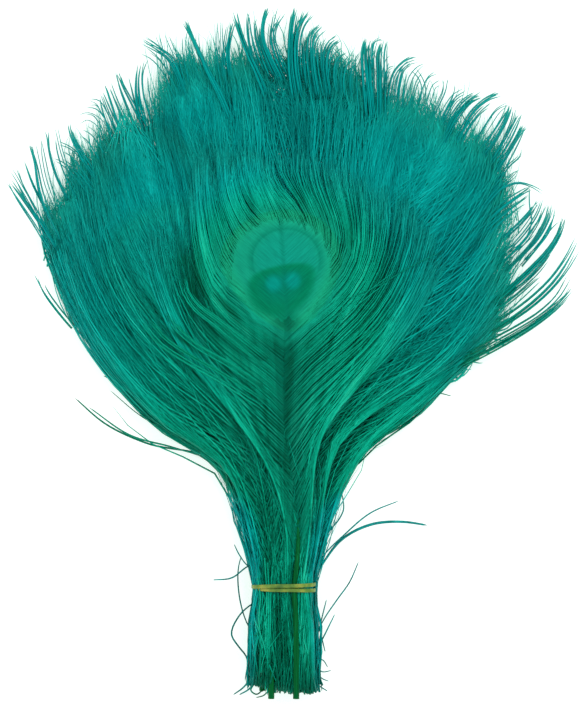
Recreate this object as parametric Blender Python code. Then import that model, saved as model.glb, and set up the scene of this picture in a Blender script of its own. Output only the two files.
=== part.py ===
"""A bunch of twelve dyed peacock eye feathers, lying flat and held by a doubled rubber band.

Each feather is one closed solid: its quill and the barbs that hang from it, as the thin slab
they fill. The bunch lies along +Y with its cut ends at y = 0 and its front feather on top.

Every feather is placed in fan coordinates. The first, u, is the place across the bunch, from
-1 at its left edge to 1 at its right edge. The second, v, is the distance from the cut ends,
measured along the line that keeps the same u. Up to the band these lines are straight stems;
above it they lean outwards, the more the further out they are, and spread as a fan.
"""

import math

import bmesh
import bpy
import numpy as np
from mathutils import Matrix, Vector

MM = 0.001

# The bunch, in millimetres.
BAND_AT = 47.6  # from the cut ends to the middle of the band
WAIST_HALF_WIDTH = 11.2  # of the stems inside the band
STEM_SPREAD = 4.0  # how much wider the stems are at their cut ends, each side
STEM_SPREAD_OVER = 9.0  # how far from the band the stems take to spread
SHOULDER = 1.0  # how much the stems swell just above the band, each side
SHOULDER_OVER = 8.0
FAN_LENGTH = 300.0  # the longest line that is worked out
STEP = 0.5

# Lean of the outermost lines outwards in degrees, by the distance from the cut ends.
LEFT_LEAN = (
    *((48, 10), (85, 16), (97, 25), (105, 56), (125, 52)),
    *((150, 44), (175, 38), (200, 30), (220, 25), (255, 23), (300, 22)),
)
RIGHT_LEAN = (
    *((48, 12), (80, 18), (97, 26), (110, 38), (120, 56), (140, 58)),
    *((170, 55), (190, 52), (205, 51), (225, 50), (255, 46), (300, 42)),
)
# Lean of the middle line to the right, and the power of u by which the lean grows from there.
MIDDLE_LEAN = ((48, 0), (170, 0), (200, -3), (230, -7), (300, -7))
SPREAD_POWER = ((48, 1.0), (110, 1.0), (190, 0.7), (300, 0.6))
# How far out barbs lie on each side, by the distance from the cut ends. The tips make a dome.
LEFT_EDGE = (
    *((115, 1.04), (160, 1.01), (230, 1.0), (247, 0.97), (254, 0.94)),
    *((262, 0.8), (268, 0.66), (275, 0.5), (290, 0.3)),
)
RIGHT_EDGE = (
    *((115, 1.04), (160, 0.95), (205, 0.95), (227, 0.9), (236, 0.89)),
    *((248, 0.68), (258, 0.62), (266, 0.54), (275, 0.5), (290, 0.3)),
)
LEAN_ROUNDING = 8  # steps over which the lean is averaged, each way

# Stacking of the feathers, in millimetres.
SLAB = 0.9  # thickness of one feather's barbs in the fan
GAP = 0.3
LEVEL = SLAB + GAP  # from one feather to the next
ROW_LEVELS = 3  # feathers that lie side by side in one row of the waist
ROW = ROW_LEVELS * LEVEL
ROW_THICKNESS = ROW - GAP
WAIST_LIFT = 3.3  # the band holds the waist this far above the table
LIFT_OVER = (50.0, 78.0)  # where the waist comes down to the fan
SPREAD_OVER = (50.0, 58.0)  # where a stem flattens to its slab
SWING_OVER = (60.0, 116.0)  # where a feather moves across to its own place in the fan
ROW_CROWN = 0.7  # how much the top and bottom rows bulge at their middle

# Each feather: its name, place across the fan, reach from the cut ends, how much of its foot
# is cut away, and the two sides of its place in the waist. The last one lies on the table.
FEATHERS = (
    ("feather_01", 0.00, 232.0, 2.0, 1.0, 7.0),
    ("feather_02", -0.46, 272.0, 3.0, -9.6, 0.65),
    ("feather_03", 0.30, 276.0, 4.0, 7.35, 9.6),
    ("feather_04", -0.24, 286.0, 1.0, -3.55, 3.55),
    ("feather_05", 0.56, 256.0, 2.5, 3.9, 11.2),
    ("feather_06", -0.72, 262.0, 4.0, -11.2, -3.9),
    ("feather_07", 0.10, 290.0, 0.0, -3.55, 3.55),
    ("feather_08", 0.82, 234.0, 1.5, 3.9, 11.2),
    ("feather_09", -0.86, 254.0, 3.0, -11.2, -3.9),
    ("feather_10", 0.42, 272.0, 3.5, 3.5, 9.6),
    ("feather_11", -0.58, 268.0, 2.0, -9.6, -3.5),
    ("feather_12", -0.10, 288.0, 0.5, -3.15, 3.15),
)
VANE_HALF_WIDTH = 0.56  # of one feather at its widest, across the fan
WIDEST_AT = 165.0  # where it reaches that width
DOME = 62.0  # length of the rounded end
TIP_HALF_WIDTH = 0.07
ACROSS = (-1.0, -0.78, -0.3, 0.3, 0.78, 1.0)  # points across a section
EDGE_THICKNESS = 0.4  # of a section's middle
STEM_SECTIONS = (14.0, 32.0, 41.0, BAND_AT, 50.0, 54.0, 58.0, 68.0, 78.0, 90.0, 99.0, 107.0)
FAN_SECTIONS = 8  # from there to where the dome starts
DOME_SECTIONS = (0.35, 0.62, 0.82, 0.94, 1.0)

# The rubber band: one closed loop that goes round the waist twice.
BAND_WIDTH = 1.5
BAND_THICKNESS = 0.8
BAND_CLEARANCE = 1.5  # from the waist to the middle of the two strands, at the sides
BAND_CLEARANCE_ABOVE = 2.1
BAND_APART = 1.25  # half the distance between the strands where they lie side by side
BAND_STACK = 0.6  # half of it where they lie on each other
BAND_SQUARENESS = 4.0  # 2 is an ellipse
BAND_HALF_WIDE = WAIST_HALF_WIDTH + BAND_CLEARANCE
BAND_HALF_HIGH = 2 * ROW + BAND_CLEARANCE_ABOVE
BAND_MIDDLE = WAIST_LIFT + 2 * ROW - GAP / 2
BAND_SECTIONS = 96
# Its cross-section, a flat strip with bevelled corners, in halves of its width and thickness.
BAND_SECTION = (
    *((-1.0, 0.6), (-0.7, 1.0), (0.7, 1.0), (1.0, 0.6)),
    *((1.0, -0.6), (0.7, -1.0), (-0.7, -1.0), (-1.0, -0.6)),
)

# Colour, roughness and metallic value.
DYED_BARBS = ((0.004, 0.22, 0.16, 1.0), 0.62, 0.0)
NATURAL_RUBBER = ((0.19, 0.21, 0.03, 1.0), 0.5, 0.0)


def clear_scene():
    for thing in list(bpy.data.objects):
        bpy.data.objects.remove(thing, do_unlink=True)


def eased(value, start, end):
    """0 before start, 1 after end, and an S curve between."""
    t = min(max((value - start) / (end - start), 0.0), 1.0)
    return t * t * (3.0 - 2.0 * t)


STEPS = np.arange(0.0, FAN_LENGTH + STEP, STEP)


def read_table(table):
    return np.interp(STEPS, *np.array(table, float).T)


def line_lean(table):
    """A line's lean in radians, at each step along it."""
    lean = np.where(STEPS < BAND_AT, 0.0, read_table(table))
    weights = np.hanning(2 * LEAN_ROUNDING + 1)
    padded = np.pad(lean, LEAN_ROUNDING, mode="edge")
    return np.radians(np.convolve(padded, weights / weights.sum(), "valid"))


LEANS = {-1: line_lean(LEFT_LEAN), 0: line_lean(MIDDLE_LEAN), 1: line_lean(RIGHT_LEAN)}
POWERS = read_table(SPREAD_POWER)


def stem_half_width(v):
    below = 1.0 - math.exp(-(((min(v, BAND_AT) - BAND_AT) / STEM_SPREAD_OVER) ** 2))
    above = eased(v, BAND_AT, BAND_AT + SHOULDER_OVER)
    return WAIST_HALF_WIDTH + STEM_SPREAD * below + SHOULDER * above


def fan_point(u, v):
    """Where fan coordinates u, v are on the table, in millimetres."""
    side = -1 if u < 0 else 1
    middle = side * LEANS[0]
    lean = middle + abs(u) ** POWERS * (LEANS[side] - middle)
    sideways = np.concatenate([[0.0], np.cumsum(np.sin(lean[:-1])) * STEP])
    forward = np.concatenate([[0.0], np.cumsum(np.cos(lean[:-1])) * STEP])
    x = u * stem_half_width(v) + side * np.interp(v, STEPS, sideways)
    return x, float(np.interp(v, STEPS, forward))


def material(name, finish):
    colour, roughness, metallic = finish
    made = bpy.data.materials.new(name)
    made.use_nodes = True
    shader = made.node_tree.nodes["Principled BSDF"]
    shader.inputs["Base Color"].default_value = colour
    shader.inputs["Roughness"].default_value = roughness
    shader.inputs["Metallic"].default_value = metallic
    made.diffuse_color = colour
    return made


def skin_sections(name, rings, closed):
    """One body through a list of rings of points: capped at both ends, or joined into a loop."""
    mesh = bmesh.new()
    loops = [[mesh.verts.new([c * MM for c in point]) for point in ring] for ring in rings]
    count = len(loops[0])
    pairs = list(zip(loops, loops[1:]))
    if closed:
        pairs.append((loops[-1], loops[0]))
    for first, second in pairs:
        for i in range(count):
            j = (i + 1) % count
            mesh.faces.new((first[i], first[j], second[j], second[i]))
    if not closed:
        mesh.faces.new(loops[0][::-1])
        mesh.faces.new(loops[-1])
    bmesh.ops.triangulate(mesh, faces=mesh.faces[:])
    bmesh.ops.recalc_face_normals(mesh, faces=mesh.faces[:])
    data = bpy.data.meshes.new(name)
    mesh.to_mesh(data)
    mesh.free()
    data.shade_smooth()
    data.set_sharp_from_angle(angle=math.radians(35.0))
    made = bpy.data.objects.new(name, data)
    bpy.context.collection.objects.link(made)
    return made


def half_width(v, waist, reach):
    """Half of a feather's width across the fan: its place in the waist, its vane, its dome."""
    grown = waist + (VANE_HALF_WIDTH - waist) * eased(v, SWING_OVER[0], WIDEST_AT)
    into_dome = min(max((v - (reach - DOME)) / DOME, 0.0), 1.0)
    return max(grown * math.sqrt(1.0 - into_dome**2), TIP_HALF_WIDTH)


def feather_ring(v, level, place, reach, waist_middle, waist_half):
    """One section of a feather: its underside from left to right, then its top back again."""
    row, in_row = divmod(level, ROW_LEVELS)
    flat = eased(v, *SPREAD_OVER)
    bottom = WAIST_LIFT * (1.0 - eased(v, *LIFT_OVER)) + row * ROW + flat * in_row * LEVEL
    thickness = ROW_THICKNESS + (SLAB - ROW_THICKNESS) * flat
    middle = waist_middle + (place - waist_middle) * eased(v, *SWING_OVER)
    half = half_width(v, waist_half, reach)
    left = max(middle - half, -np.interp(v, *np.array(LEFT_EDGE, float).T))
    right = min(middle + half, np.interp(v, *np.array(RIGHT_EDGE, float).T))
    last_row = (len(FEATHERS) - 1) // ROW_LEVELS
    under, over = [], []
    for across in ACROSS:
        u = (left + right) / 2 + across * (right - left) / 2
        x, y = fan_point(u, v)
        bulge = ROW_CROWN * (1.0 - u * u) * (1.0 - flat)
        thin = (1.0 - EDGE_THICKNESS) / 2 * thickness if abs(across) == 1.0 else 0.0
        # In the fan the underside stays flat, and only the top comes down at the edges.
        low = bottom + thin * (1.0 - flat) - (bulge if row == 0 else 0.0)
        high = bottom + thickness - thin * (1.0 + flat) + (bulge if row == last_row else 0.0)
        under.append((x, y, low))
        over.append((x, y, high))
    return under + over[::-1]


def make_feather(index, finish):
    name, place, reach, cut, waist_left, waist_right = FEATHERS[index]
    level = len(FEATHERS) - 1 - index
    waist_middle = (waist_left + waist_right) / 2 / WAIST_HALF_WIDTH
    waist_half = (waist_right - waist_left) / 2 / WAIST_HALF_WIDTH
    fan = np.linspace(STEM_SECTIONS[-1], reach - DOME, FAN_SECTIONS + 1)[1:]
    dome = [reach - DOME * (1.0 - part) for part in DOME_SECTIONS]
    rings = [
        feather_ring(v, level, place, reach, waist_middle, waist_half)
        for v in (cut, *STEM_SECTIONS, *fan, *dome)
    ]
    made = skin_sections(name, rings, closed=False)
    made.data.materials.append(finish)


def band_outline(turn):
    """Where the band's middle line is about the waist's middle: a superellipse, once a turn."""
    angle = 2.0 * math.pi * turn
    c, s = math.cos(angle), math.sin(angle)
    power = 2.0 / BAND_SQUARENESS
    x = BAND_HALF_WIDE * math.copysign(abs(c) ** power, c)
    z = BAND_HALF_HIGH * math.copysign(abs(s) ** power, s)
    return x, z


def band_ring(turn):
    """One section of the band. turn goes from 0 to 2 as the strand goes round twice."""
    x, z = band_outline(turn)
    # The normal of a superellipse |x/wide|^n + |z/high|^n = 1.
    steep = BAND_SQUARENESS - 1.0
    nx = math.copysign(abs(x / BAND_HALF_WIDE) ** steep, x) / BAND_HALF_WIDE
    nz = math.copysign(abs(z / BAND_HALF_HIGH) ** steep, z) / BAND_HALF_HIGH
    size = math.hypot(nx, nz)
    nx, nz = nx / size, nz / size
    out = BAND_STACK * math.sin(math.pi * turn)
    along = BAND_AT + BAND_APART * math.cos(math.pi * turn)
    ring = []
    for side, part in BAND_SECTION:
        away = out + part * BAND_THICKNESS / 2
        ring.append((x + nx * away, along + side * BAND_WIDTH / 2, BAND_MIDDLE + z + nz * away))
    return ring


def make_band(finish):
    # Turns are spaced so that the strand's sections are about evenly far apart on the loop.
    fine = np.linspace(0.0, 2.0, 4001)
    outline = np.array([band_outline(turn) for turn in fine])
    steps = np.linalg.norm(np.diff(outline, axis=0), axis=1)
    travelled = np.concatenate([[0.0], np.cumsum(steps)])
    even = np.linspace(0.0, travelled[-1], BAND_SECTIONS, endpoint=False)
    turns = np.interp(even, travelled, fine)
    made = skin_sections("rubber_band", [band_ring(turn) for turn in turns], closed=True)
    made.data.materials.append(finish)


def centre_on_table():
    """Moves the whole bunch, so that the origin is under the middle of its box."""
    pieces = list(bpy.context.collection.objects)
    corners = [vertex.co for piece in pieces for vertex in piece.data.vertices]
    low = Vector(min(corner[axis] for corner in corners) for axis in range(3))
    high = Vector(max(corner[axis] for corner in corners) for axis in range(3))
    middle = (low + high) / 2
    for piece in pieces:
        piece.data.transform(Matrix.Translation((-middle.x, -middle.y, -low.z)))


clear_scene()
barbs = material("dyed_peacock_barbs", DYED_BARBS)
for number in range(len(FEATHERS)):
    make_feather(number, barbs)
make_band(material("natural_rubber", NATURAL_RUBBER))
centre_on_table()
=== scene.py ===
"""The looks of a bunch of dyed peacock eye feathers, lying flat in a doubled rubber band.

Every feather is a shaft and the strands that grow from it, placed in fan coordinates: u is the
place across the bunch, from -1 at its left edge to 1 at its right edge, and v is the distance
from the cut ends, measured along the line that keeps the same u. The front feather has the vane
of its eye too, and separate barbs stand out of the fan's edge or have come loose. Lengths are in
millimetres until a mesh is made, and in metres in the materials.
"""

import math

import bpy
import numpy as np
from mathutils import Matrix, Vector


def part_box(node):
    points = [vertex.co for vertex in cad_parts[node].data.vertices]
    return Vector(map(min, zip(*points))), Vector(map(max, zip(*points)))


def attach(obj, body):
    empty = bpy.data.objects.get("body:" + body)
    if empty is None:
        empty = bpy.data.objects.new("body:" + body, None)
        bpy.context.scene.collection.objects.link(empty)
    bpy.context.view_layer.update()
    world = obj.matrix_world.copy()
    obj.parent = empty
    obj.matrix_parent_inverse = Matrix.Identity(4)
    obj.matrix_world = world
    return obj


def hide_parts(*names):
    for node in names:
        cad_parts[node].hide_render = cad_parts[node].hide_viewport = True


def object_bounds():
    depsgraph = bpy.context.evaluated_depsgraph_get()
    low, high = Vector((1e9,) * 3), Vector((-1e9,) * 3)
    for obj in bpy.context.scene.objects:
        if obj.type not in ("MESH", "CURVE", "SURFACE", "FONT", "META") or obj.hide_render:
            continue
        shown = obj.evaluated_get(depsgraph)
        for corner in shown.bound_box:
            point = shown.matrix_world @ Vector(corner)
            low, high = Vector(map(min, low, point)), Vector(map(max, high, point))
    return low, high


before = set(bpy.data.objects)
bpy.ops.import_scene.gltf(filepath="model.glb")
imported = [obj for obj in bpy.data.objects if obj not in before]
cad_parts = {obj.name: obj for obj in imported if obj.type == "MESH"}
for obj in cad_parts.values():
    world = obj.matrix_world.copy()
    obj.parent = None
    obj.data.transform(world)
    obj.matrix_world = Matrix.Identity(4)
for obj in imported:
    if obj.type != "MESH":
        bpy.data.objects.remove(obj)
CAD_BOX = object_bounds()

MM = 0.001
RANDOM = np.random.default_rng(11)

# ---------------------------------------------------------------- the bunch, as the CAD has it

BAND_LOW, BAND_HIGH = (np.array(corner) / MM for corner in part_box("rubber_band"))
CUT_ENDS = CAD_BOX[0][1] / MM
BAND_AT = (BAND_LOW[1] + BAND_HIGH[1]) / 2 - CUT_ENDS
BAND_STACK = 0.6  # half the distance between the strands where they lie on each other
# The strands lie on each other at the left, so the band's box reaches further there.
AXIS_X = (BAND_LOW[0] + BAND_HIGH[0] + BAND_STACK) / 2
WAIST_HALF_WIDTH = 11.2
# How much the stems spread below the band and swell above it, each side, and over what distance.
STEM_SPREAD, STEM_SPREAD_OVER = 2.4, 9.0
SHOULDER, SHOULDER_OVER = 1.0, 8.0
# How far the outermost line of each side leans outwards, in degrees, by v.
LEFT_LEAN = (
    *((48, 10), (85, 16), (97, 25), (105, 56), (125, 52)),
    *((150, 44), (175, 38), (200, 30), (220, 25), (255, 23), (300, 22)),
)
RIGHT_LEAN = (
    *((48, 12), (80, 18), (97, 26), (110, 38), (120, 56), (140, 58)),
    *((170, 55), (190, 52), (205, 51), (225, 50), (255, 46), (300, 42)),
)
# The middle line bends left near its end, and towards the tips the lines spread sooner.
MIDDLE_LEAN = ((48, 0), (170, 0), (200, -3), (230, -7), (300, -7))
SPREAD_POWER = ((48, 1.0), (110, 1.0), (190, 0.7), (300, 0.6))
# The fan's edges, by side, at the neck and further up, and where one becomes the other.
EDGE_OF_FAN = {-1: (1.04, 1.01), 1: (1.04, 0.95)}
EDGE_CHANGES = (115.0, 160.0)
# How far the dense mass of tips reaches, by place across the fan.
TIPS = (
    *((-1.04, 188), (-1.0, 198), (-0.95, 230), (-0.8, 232), (-0.72, 244), (-0.6, 248)),
    *((-0.45, 254), (-0.36, 261), (-0.28, 267), (-0.04, 270), (0.08, 270), (0.2, 260)),
    *((0.36, 253), (0.52, 252), (0.6, 232), (0.7, 214), (0.8, 202), (0.86, 192)),
    *((0.92, 178), (1.0, 160)),
)

# A feather's thickness in the fan, the distance to the next one, and how many lie side by side in
# a row of the waist.
SLAB, LEVEL, ROW_LEVELS = 0.9, 1.2, 3
ROW = ROW_LEVELS * LEVEL
ROW_THICKNESS = ROW - 0.3
# How high the band holds the waist over the table, and where along v it sinks from there, where
# the rows spread to the fan's levels, and where the shafts swing to their places in the fan.
WAIST_LIFT, LIFT_OVER = 3.3, (50.0, 78.0)
SPREAD_OVER, SWING_OVER = (50.0, 62.0), (60.0, 116.0)
# How far across the fan a feather's strands may lie from its shaft, and from where along v.
VANE_HALF_WIDTH, WIDEST_AT = 0.62, 165.0
EYE_FROM_CUPS = 0.5
SHAFT_SHORT_OF_TIPS = 12.0  # how far a shaft stops below the tips of the fan there
SHAFT_SHORT_OF_END = 22.0  # and below the feather's own end

# Each feather, from the front one down: its CAD node, place across the fan, reach, the two
# sides of its place in the waist, number of strands, how far its eye is below its end, how
# clearly the eye shows, how far the strands over it are combed sideways, and how strongly its
# strands cup it. Only the eye of one that cups it strongly is a piece of its own.
FEATHERS = (
    ("feather_01", 0.00, 229.0, 1.0, 7.0, 2500, 52, 1.0, -13.0, 1.0),
    ("feather_02", -0.46, 268.0, -9.6, 0.65, 2100, 82, 0.3, 0.0, 0.15),
    ("feather_03", 0.30, 273.0, 7.35, 9.6, 1900, 52, 0.0, 0.0, 0.0),
    ("feather_04", -0.22, 284.0, -3.55, 3.55, 1900, 52, 0.0, 0.0, 0.0),
    ("feather_05", 0.56, 262.0, 3.9, 11.2, 1500, 52, 0.0, 0.0, 0.0),
    ("feather_06", -0.72, 260.0, -11.2, -3.9, 1300, 52, 0.0, 0.0, 0.0),
    ("feather_07", 0.08, 284.0, -3.55, 3.55, 1900, 52, 0.0, 0.0, 0.0),
    ("feather_08", 0.82, 242.0, 3.9, 11.2, 900, 52, 0.0, 0.0, 0.0),
    ("feather_09", -0.86, 254.0, -11.2, -3.9, 900, 52, 0.0, 0.0, 0.0),
    ("feather_10", 0.42, 270.0, 3.5, 9.6, 800, 52, 0.0, 0.0, 0.0),
    ("feather_11", -0.58, 265.0, -9.6, -3.5, 750, 52, 0.0, 0.0, 0.0),
    ("feather_12", -0.08, 286.0, -3.15, 3.15, 1380, 52, 0.4, 0.0, 0.2),
)


def eased(value, start, end):
    """0 before start, 1 after end, and an S curve between."""
    t = np.clip((value - start) / (end - start), 0.0, 1.0)
    return t * t * (3.0 - 2.0 * t)


class Fan:
    """Fan coordinates turned to places on the table, read from tables made once.

    A line's lean is the middle line's lean plus |u|^power times what the outermost line leans
    more. Its place is the sum of the sines and cosines of that lean, step by step, added to its
    place across the stems.
    """

    U_STEP, U_MOST = 0.02, 1.3
    V_STEP, V_MOST = 0.5, 330.0
    SMOOTHED_OVER = 17  # steps of v

    def __init__(self):
        self.steps = np.arange(0.0, self.V_MOST + self.V_STEP, self.V_STEP)
        self.tables = {-1: self.table(-1, LEFT_LEAN), 1: self.table(1, RIGHT_LEAN)}

    def smooth_lean(self, lean_table):
        """A lean at every step of v, in radians, with its corners rounded."""
        places, degrees = np.array(lean_table, float).T
        lean = np.where(self.steps < BAND_AT, 0.0, np.interp(self.steps, places, degrees))
        weights = np.hanning(self.SMOOTHED_OVER)
        padded = np.pad(lean, self.SMOOTHED_OVER // 2, mode="edge")
        return np.radians(np.convolve(padded, weights / weights.sum(), "valid"))

    def table(self, side, lean_table):
        """How far sideways and forward each line of a side has come at every step of v."""
        outer = self.smooth_lean(lean_table)[None, :]
        middle = side * self.smooth_lean(MIDDLE_LEAN)[None, :]
        power = np.interp(self.steps, *np.array(SPREAD_POWER, float).T)[None, :]
        u = np.arange(0.0, self.U_MOST, self.U_STEP)[:, None]
        leans = middle + (outer - middle) * u**power
        start = np.zeros((len(leans), 1))
        sideways = np.cumsum(np.sin(leans[:, :-1]), 1) * self.V_STEP
        forward = np.cumsum(np.cos(leans[:, :-1]), 1) * self.V_STEP
        return np.hstack([start, sideways]), np.hstack([start, forward])

    def read(self, table, u, v):
        """The table's value between its rows and columns, in proportion."""
        row = np.clip(np.abs(u) / self.U_STEP, 0.0, table.shape[0] - 1.001)
        column = np.clip(v / self.V_STEP, 0.0, table.shape[1] - 1.001)
        i, j = row.astype(int), column.astype(int)
        a, b = row - i, column - j
        low = table[i, j] * (1 - b) + table[i, j + 1] * b
        high = table[i + 1, j] * (1 - b) + table[i + 1, j + 1] * b
        return low * (1 - a) + high * a

    def place(self, u, v):
        """x and y of fan coordinates, from the band's axis and from the cut ends."""
        u, v = np.broadcast_arrays(np.asarray(u, float), np.asarray(v, float))
        left, right = self.tables[-1], self.tables[1]
        sideways = np.where(u < 0, -self.read(left[0], u, v), self.read(right[0], u, v))
        forward = np.where(u < 0, self.read(left[1], u, v), self.read(right[1], u, v))
        below = 1.0 - np.exp(-(((np.minimum(v, BAND_AT) - BAND_AT) / STEM_SPREAD_OVER) ** 2))
        shoulder = SHOULDER * eased(v, BAND_AT, BAND_AT + SHOULDER_OVER)
        stem = WAIST_HALF_WIDTH + STEM_SPREAD * below + shoulder
        return u * stem + sideways, forward + np.minimum(v, 0.0)

    def width(self, side, v):
        """Millimetres from the middle line to the outermost line of a side."""
        return np.abs(self.place(np.full_like(v, 1.0) * side, v)[0])


FAN = Fan()


# ---------------------------------------------------------------- meshes from arrays


def new_mesh(name, points, faces, materials):
    """An object from points in millimetres about the bunch's axis and cut ends, and from face
    corners given as a list of (count, corners) arrays of equal-sided faces."""
    points = points + np.array([AXIS_X, CUT_ENDS, 0.0])
    mesh = bpy.data.meshes.new(name)
    mesh.vertices.add(len(points))
    mesh.vertices.foreach_set("co", (points * MM).astype(np.float32).ravel())
    sides = np.concatenate([np.full(len(f), f.shape[1]) for f in faces])
    corners = np.concatenate([f.ravel() for f in faces])
    mesh.loops.add(len(corners))
    mesh.loops.foreach_set("vertex_index", corners.astype(np.int32))
    mesh.polygons.add(len(sides))
    starts = np.concatenate([[0], np.cumsum(sides)[:-1]])
    mesh.polygons.foreach_set("loop_start", starts.astype(np.int32))
    mesh.polygons.foreach_set("use_smooth", np.full(len(sides), True))
    mesh.update(calc_edges=True)
    for material in materials:
        mesh.materials.append(material)
    made = bpy.data.objects.new(name, mesh)
    bpy.context.scene.collection.objects.link(made)
    return made


def set_attribute(piece, name, values):
    """A number or a vector for each point of a mesh."""
    values = np.asarray(values, np.float32)
    kind, field = ("FLOAT", "value") if values.ndim == 1 else ("FLOAT_VECTOR", "vector")
    attribute = piece.data.attributes.new(name, kind, "POINT")
    attribute.data.foreach_set(field, values.ravel())


def section_frames(paths, roll):
    """For paths of shape (strands, rings, 3): unit vectors across and up at each ring. Across
    is level and square to the path, and both are turned about the path by roll."""
    along = np.gradient(paths, axis=1)
    along /= np.linalg.norm(along, axis=2, keepdims=True) + 1e-9
    across = np.stack([along[..., 1], -along[..., 0], np.zeros(along.shape[:2])], 2)
    across /= np.linalg.norm(across, axis=2, keepdims=True) + 1e-9
    up = np.cross(across, along)
    c, s = np.cos(roll)[..., None], np.sin(roll)[..., None]
    return across * c + up * s, up * c - across * s


# A strand's section: a low roof with its flat side down, in halves of its width and height.
ROOF = np.array([(-1.0, -0.6), (1.0, -0.6), (0.0, 1.0)])


def strand_mesh(name, paths, widths, heights, roll, materials):
    """Closed strands along paths: a roof section at every ring but the last, which is a point.

    widths and heights are the full size of the section at each ring. The map gives each strand
    its own strip, side by side in columns, with its rings along the strip."""
    count, rings, _ = paths.shape
    across, up = section_frames(paths, roll)
    sides = len(ROOF)
    body = (
        paths[:, :-1, None, :]
        + across[:, :-1, None, :] * (widths[:, :-1, None, None] / 2 * ROOF[:, 0, None])
        + up[:, :-1, None, :] * (heights[:, :-1, None, None] / 2 * ROOF[:, 1, None])
    )
    per_strand = (rings - 1) * sides + 1
    points = np.concatenate([body.reshape(count, -1, 3), paths[:, -1:, :]], 1).reshape(-1, 3)

    first = (np.arange(count) * per_strand)[:, None, None]
    ring = (np.arange(rings - 2) * sides)[None, :, None]
    side = np.arange(sides)[None, None, :]
    following = (side + 1) % sides
    near, far = first + ring, first + ring + sides
    quads = np.stack([near + side, near + following, far + following, far + side], -1).reshape(-1, 4)
    last = first[:, 0] + (rings - 2) * sides
    tip = first[:, 0] + per_strand - 1
    side, following = side[0], following[0]
    tip = np.broadcast_to(tip, (count, sides))
    tips = np.stack([last + side, last + following, tip], -1).reshape(-1, 3)
    roots = first[:, 0] + np.arange(sides)[::-1][None, :]
    made = new_mesh(name, points, [quads, tips, roots], materials)
    strip_map(made, count, rings, sides)
    return made


STRIPS_SHAPE = 12  # rows of strips on the map for each of its columns
STRIP_WIDE, STRIP_HIGH, ROOT_ROOM = 0.96, 0.8, 0.03  # parts of a strip's place on the map


def strip_map(piece, count, rings, sides):
    """Gives each strand a strip of its own on the map, for a bake: rings along, sides across."""
    columns = max(1, round(math.sqrt(count / STRIPS_SHAPE)))
    rows = math.ceil(count / columns)
    index = np.arange(count)
    left = (index % columns) / columns
    low = (index // columns) / rows
    wide, high = STRIP_WIDE / columns, STRIP_HIGH / rows
    # Ring 0 keeps a little room at its left for the root's own face.
    along = ROOT_ROOM + (1.0 - ROOT_ROOM) * np.arange(rings) / (rings - 1)
    x = left[:, None] + along[None, :] * wide
    y = low[:, None] + np.arange(sides + 1)[None, :] / sides * high

    def by_side(values):
        """Values by strand and ring, the same for every side."""
        return np.broadcast_to(values[..., None], (*values.shape, sides))

    def by_ring(values):
        """Values by strand and side, the same for every ring."""
        return np.broadcast_to(values[:, None, :], (count, rings - 2, sides))

    start, stop = by_side(x[:, :-2]), by_side(x[:, 1:-1])
    lower, upper = by_ring(y[:, :-1]), by_ring(y[:, 1:])
    along, up = np.stack([start, start, stop, stop], -1), np.stack([lower, upper, upper, lower], -1)
    quad = np.stack([along, up], -1)
    start, stop = by_side(x[:, -2]), by_side(x[:, -1])
    lower, upper = y[:, :-1], y[:, 1:]
    along, up = np.stack([start, start, stop], -1), np.stack([lower, upper, (lower + upper) / 2], -1)
    tip = np.stack([along, up], -1)
    corner = np.array([(0.0, 0.9), (0.0, 0.1), (0.025, 0.5)])
    root = np.stack([left[:, None] + corner[:, 0] * wide, low[:, None] + corner[:, 1] * high], -1)
    uv = np.concatenate([quad.reshape(-1, 2), tip.reshape(-1, 2), root.reshape(-1, 2)])
    layer = piece.data.uv_layers.new(name="OFBake")
    layer.data.foreach_set("uv", uv.astype(np.float32).ravel())


# ---------------------------------------------------------------- materials


def linear(hex_colour):
    """A hex colour in sRGB as linear red, green, blue and alpha."""
    parts = [int(hex_colour[i : i + 2], 16) / 255 for i in (1, 3, 5)]
    return tuple(p / 12.92 if p <= 0.04045 else ((p + 0.055) / 1.055) ** 2.4 for p in parts) + (1.0,)


def add(tree, kind, inputs=(), output=0, stops=(), **settings):
    """An output of a new node, by name or by place among those in use. Settings go by name, inputs
    by place among those in use, and the stops of a ramp are (place, hex colour)."""
    node = tree.nodes.new("ShaderNode" + kind)
    for key, value in settings.items():
        setattr(node, key, value)
    for socket, value in zip([socket for socket in node.inputs if socket.enabled], inputs):
        if isinstance(value, bpy.types.NodeSocket):
            tree.links.new(value, socket)
        else:
            socket.default_value = value
    for number, (place, colour) in enumerate(stops):
        if number == len(node.color_ramp.elements):
            node.color_ramp.elements.new(1.0)
        node.color_ramp.elements[number].position = place
        node.color_ramp.elements[number].color = linear(colour)
    if isinstance(output, str):
        return node.outputs[output]
    return [socket for socket in node.outputs if socket.enabled][output]


# Settings that many nodes share: a number that runs from 0 to 1 in an S curve as its value goes
# from one input to the next, two colours mixed by an amount, and two colours multiplied.
SMOOTH = {"interpolation_type": "SMOOTHSTEP"}
MIXED = {"data_type": "RGBA", "blend_type": "MIX"}
MULTIPLIED = {"data_type": "RGBA", "blend_type": "MULTIPLY"}


def per_metre(*sizes):
    """How often patterns of these sizes, in millimetres, fit in a metre."""
    return tuple(1.0 / (size * MM) for size in sizes)


def new_material(name):
    """A material, its node tree and its shader."""
    material = bpy.data.materials.new(name)
    material.use_nodes = True
    tree = material.node_tree
    return material, tree, tree.nodes["Principled BSDF"]


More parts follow.
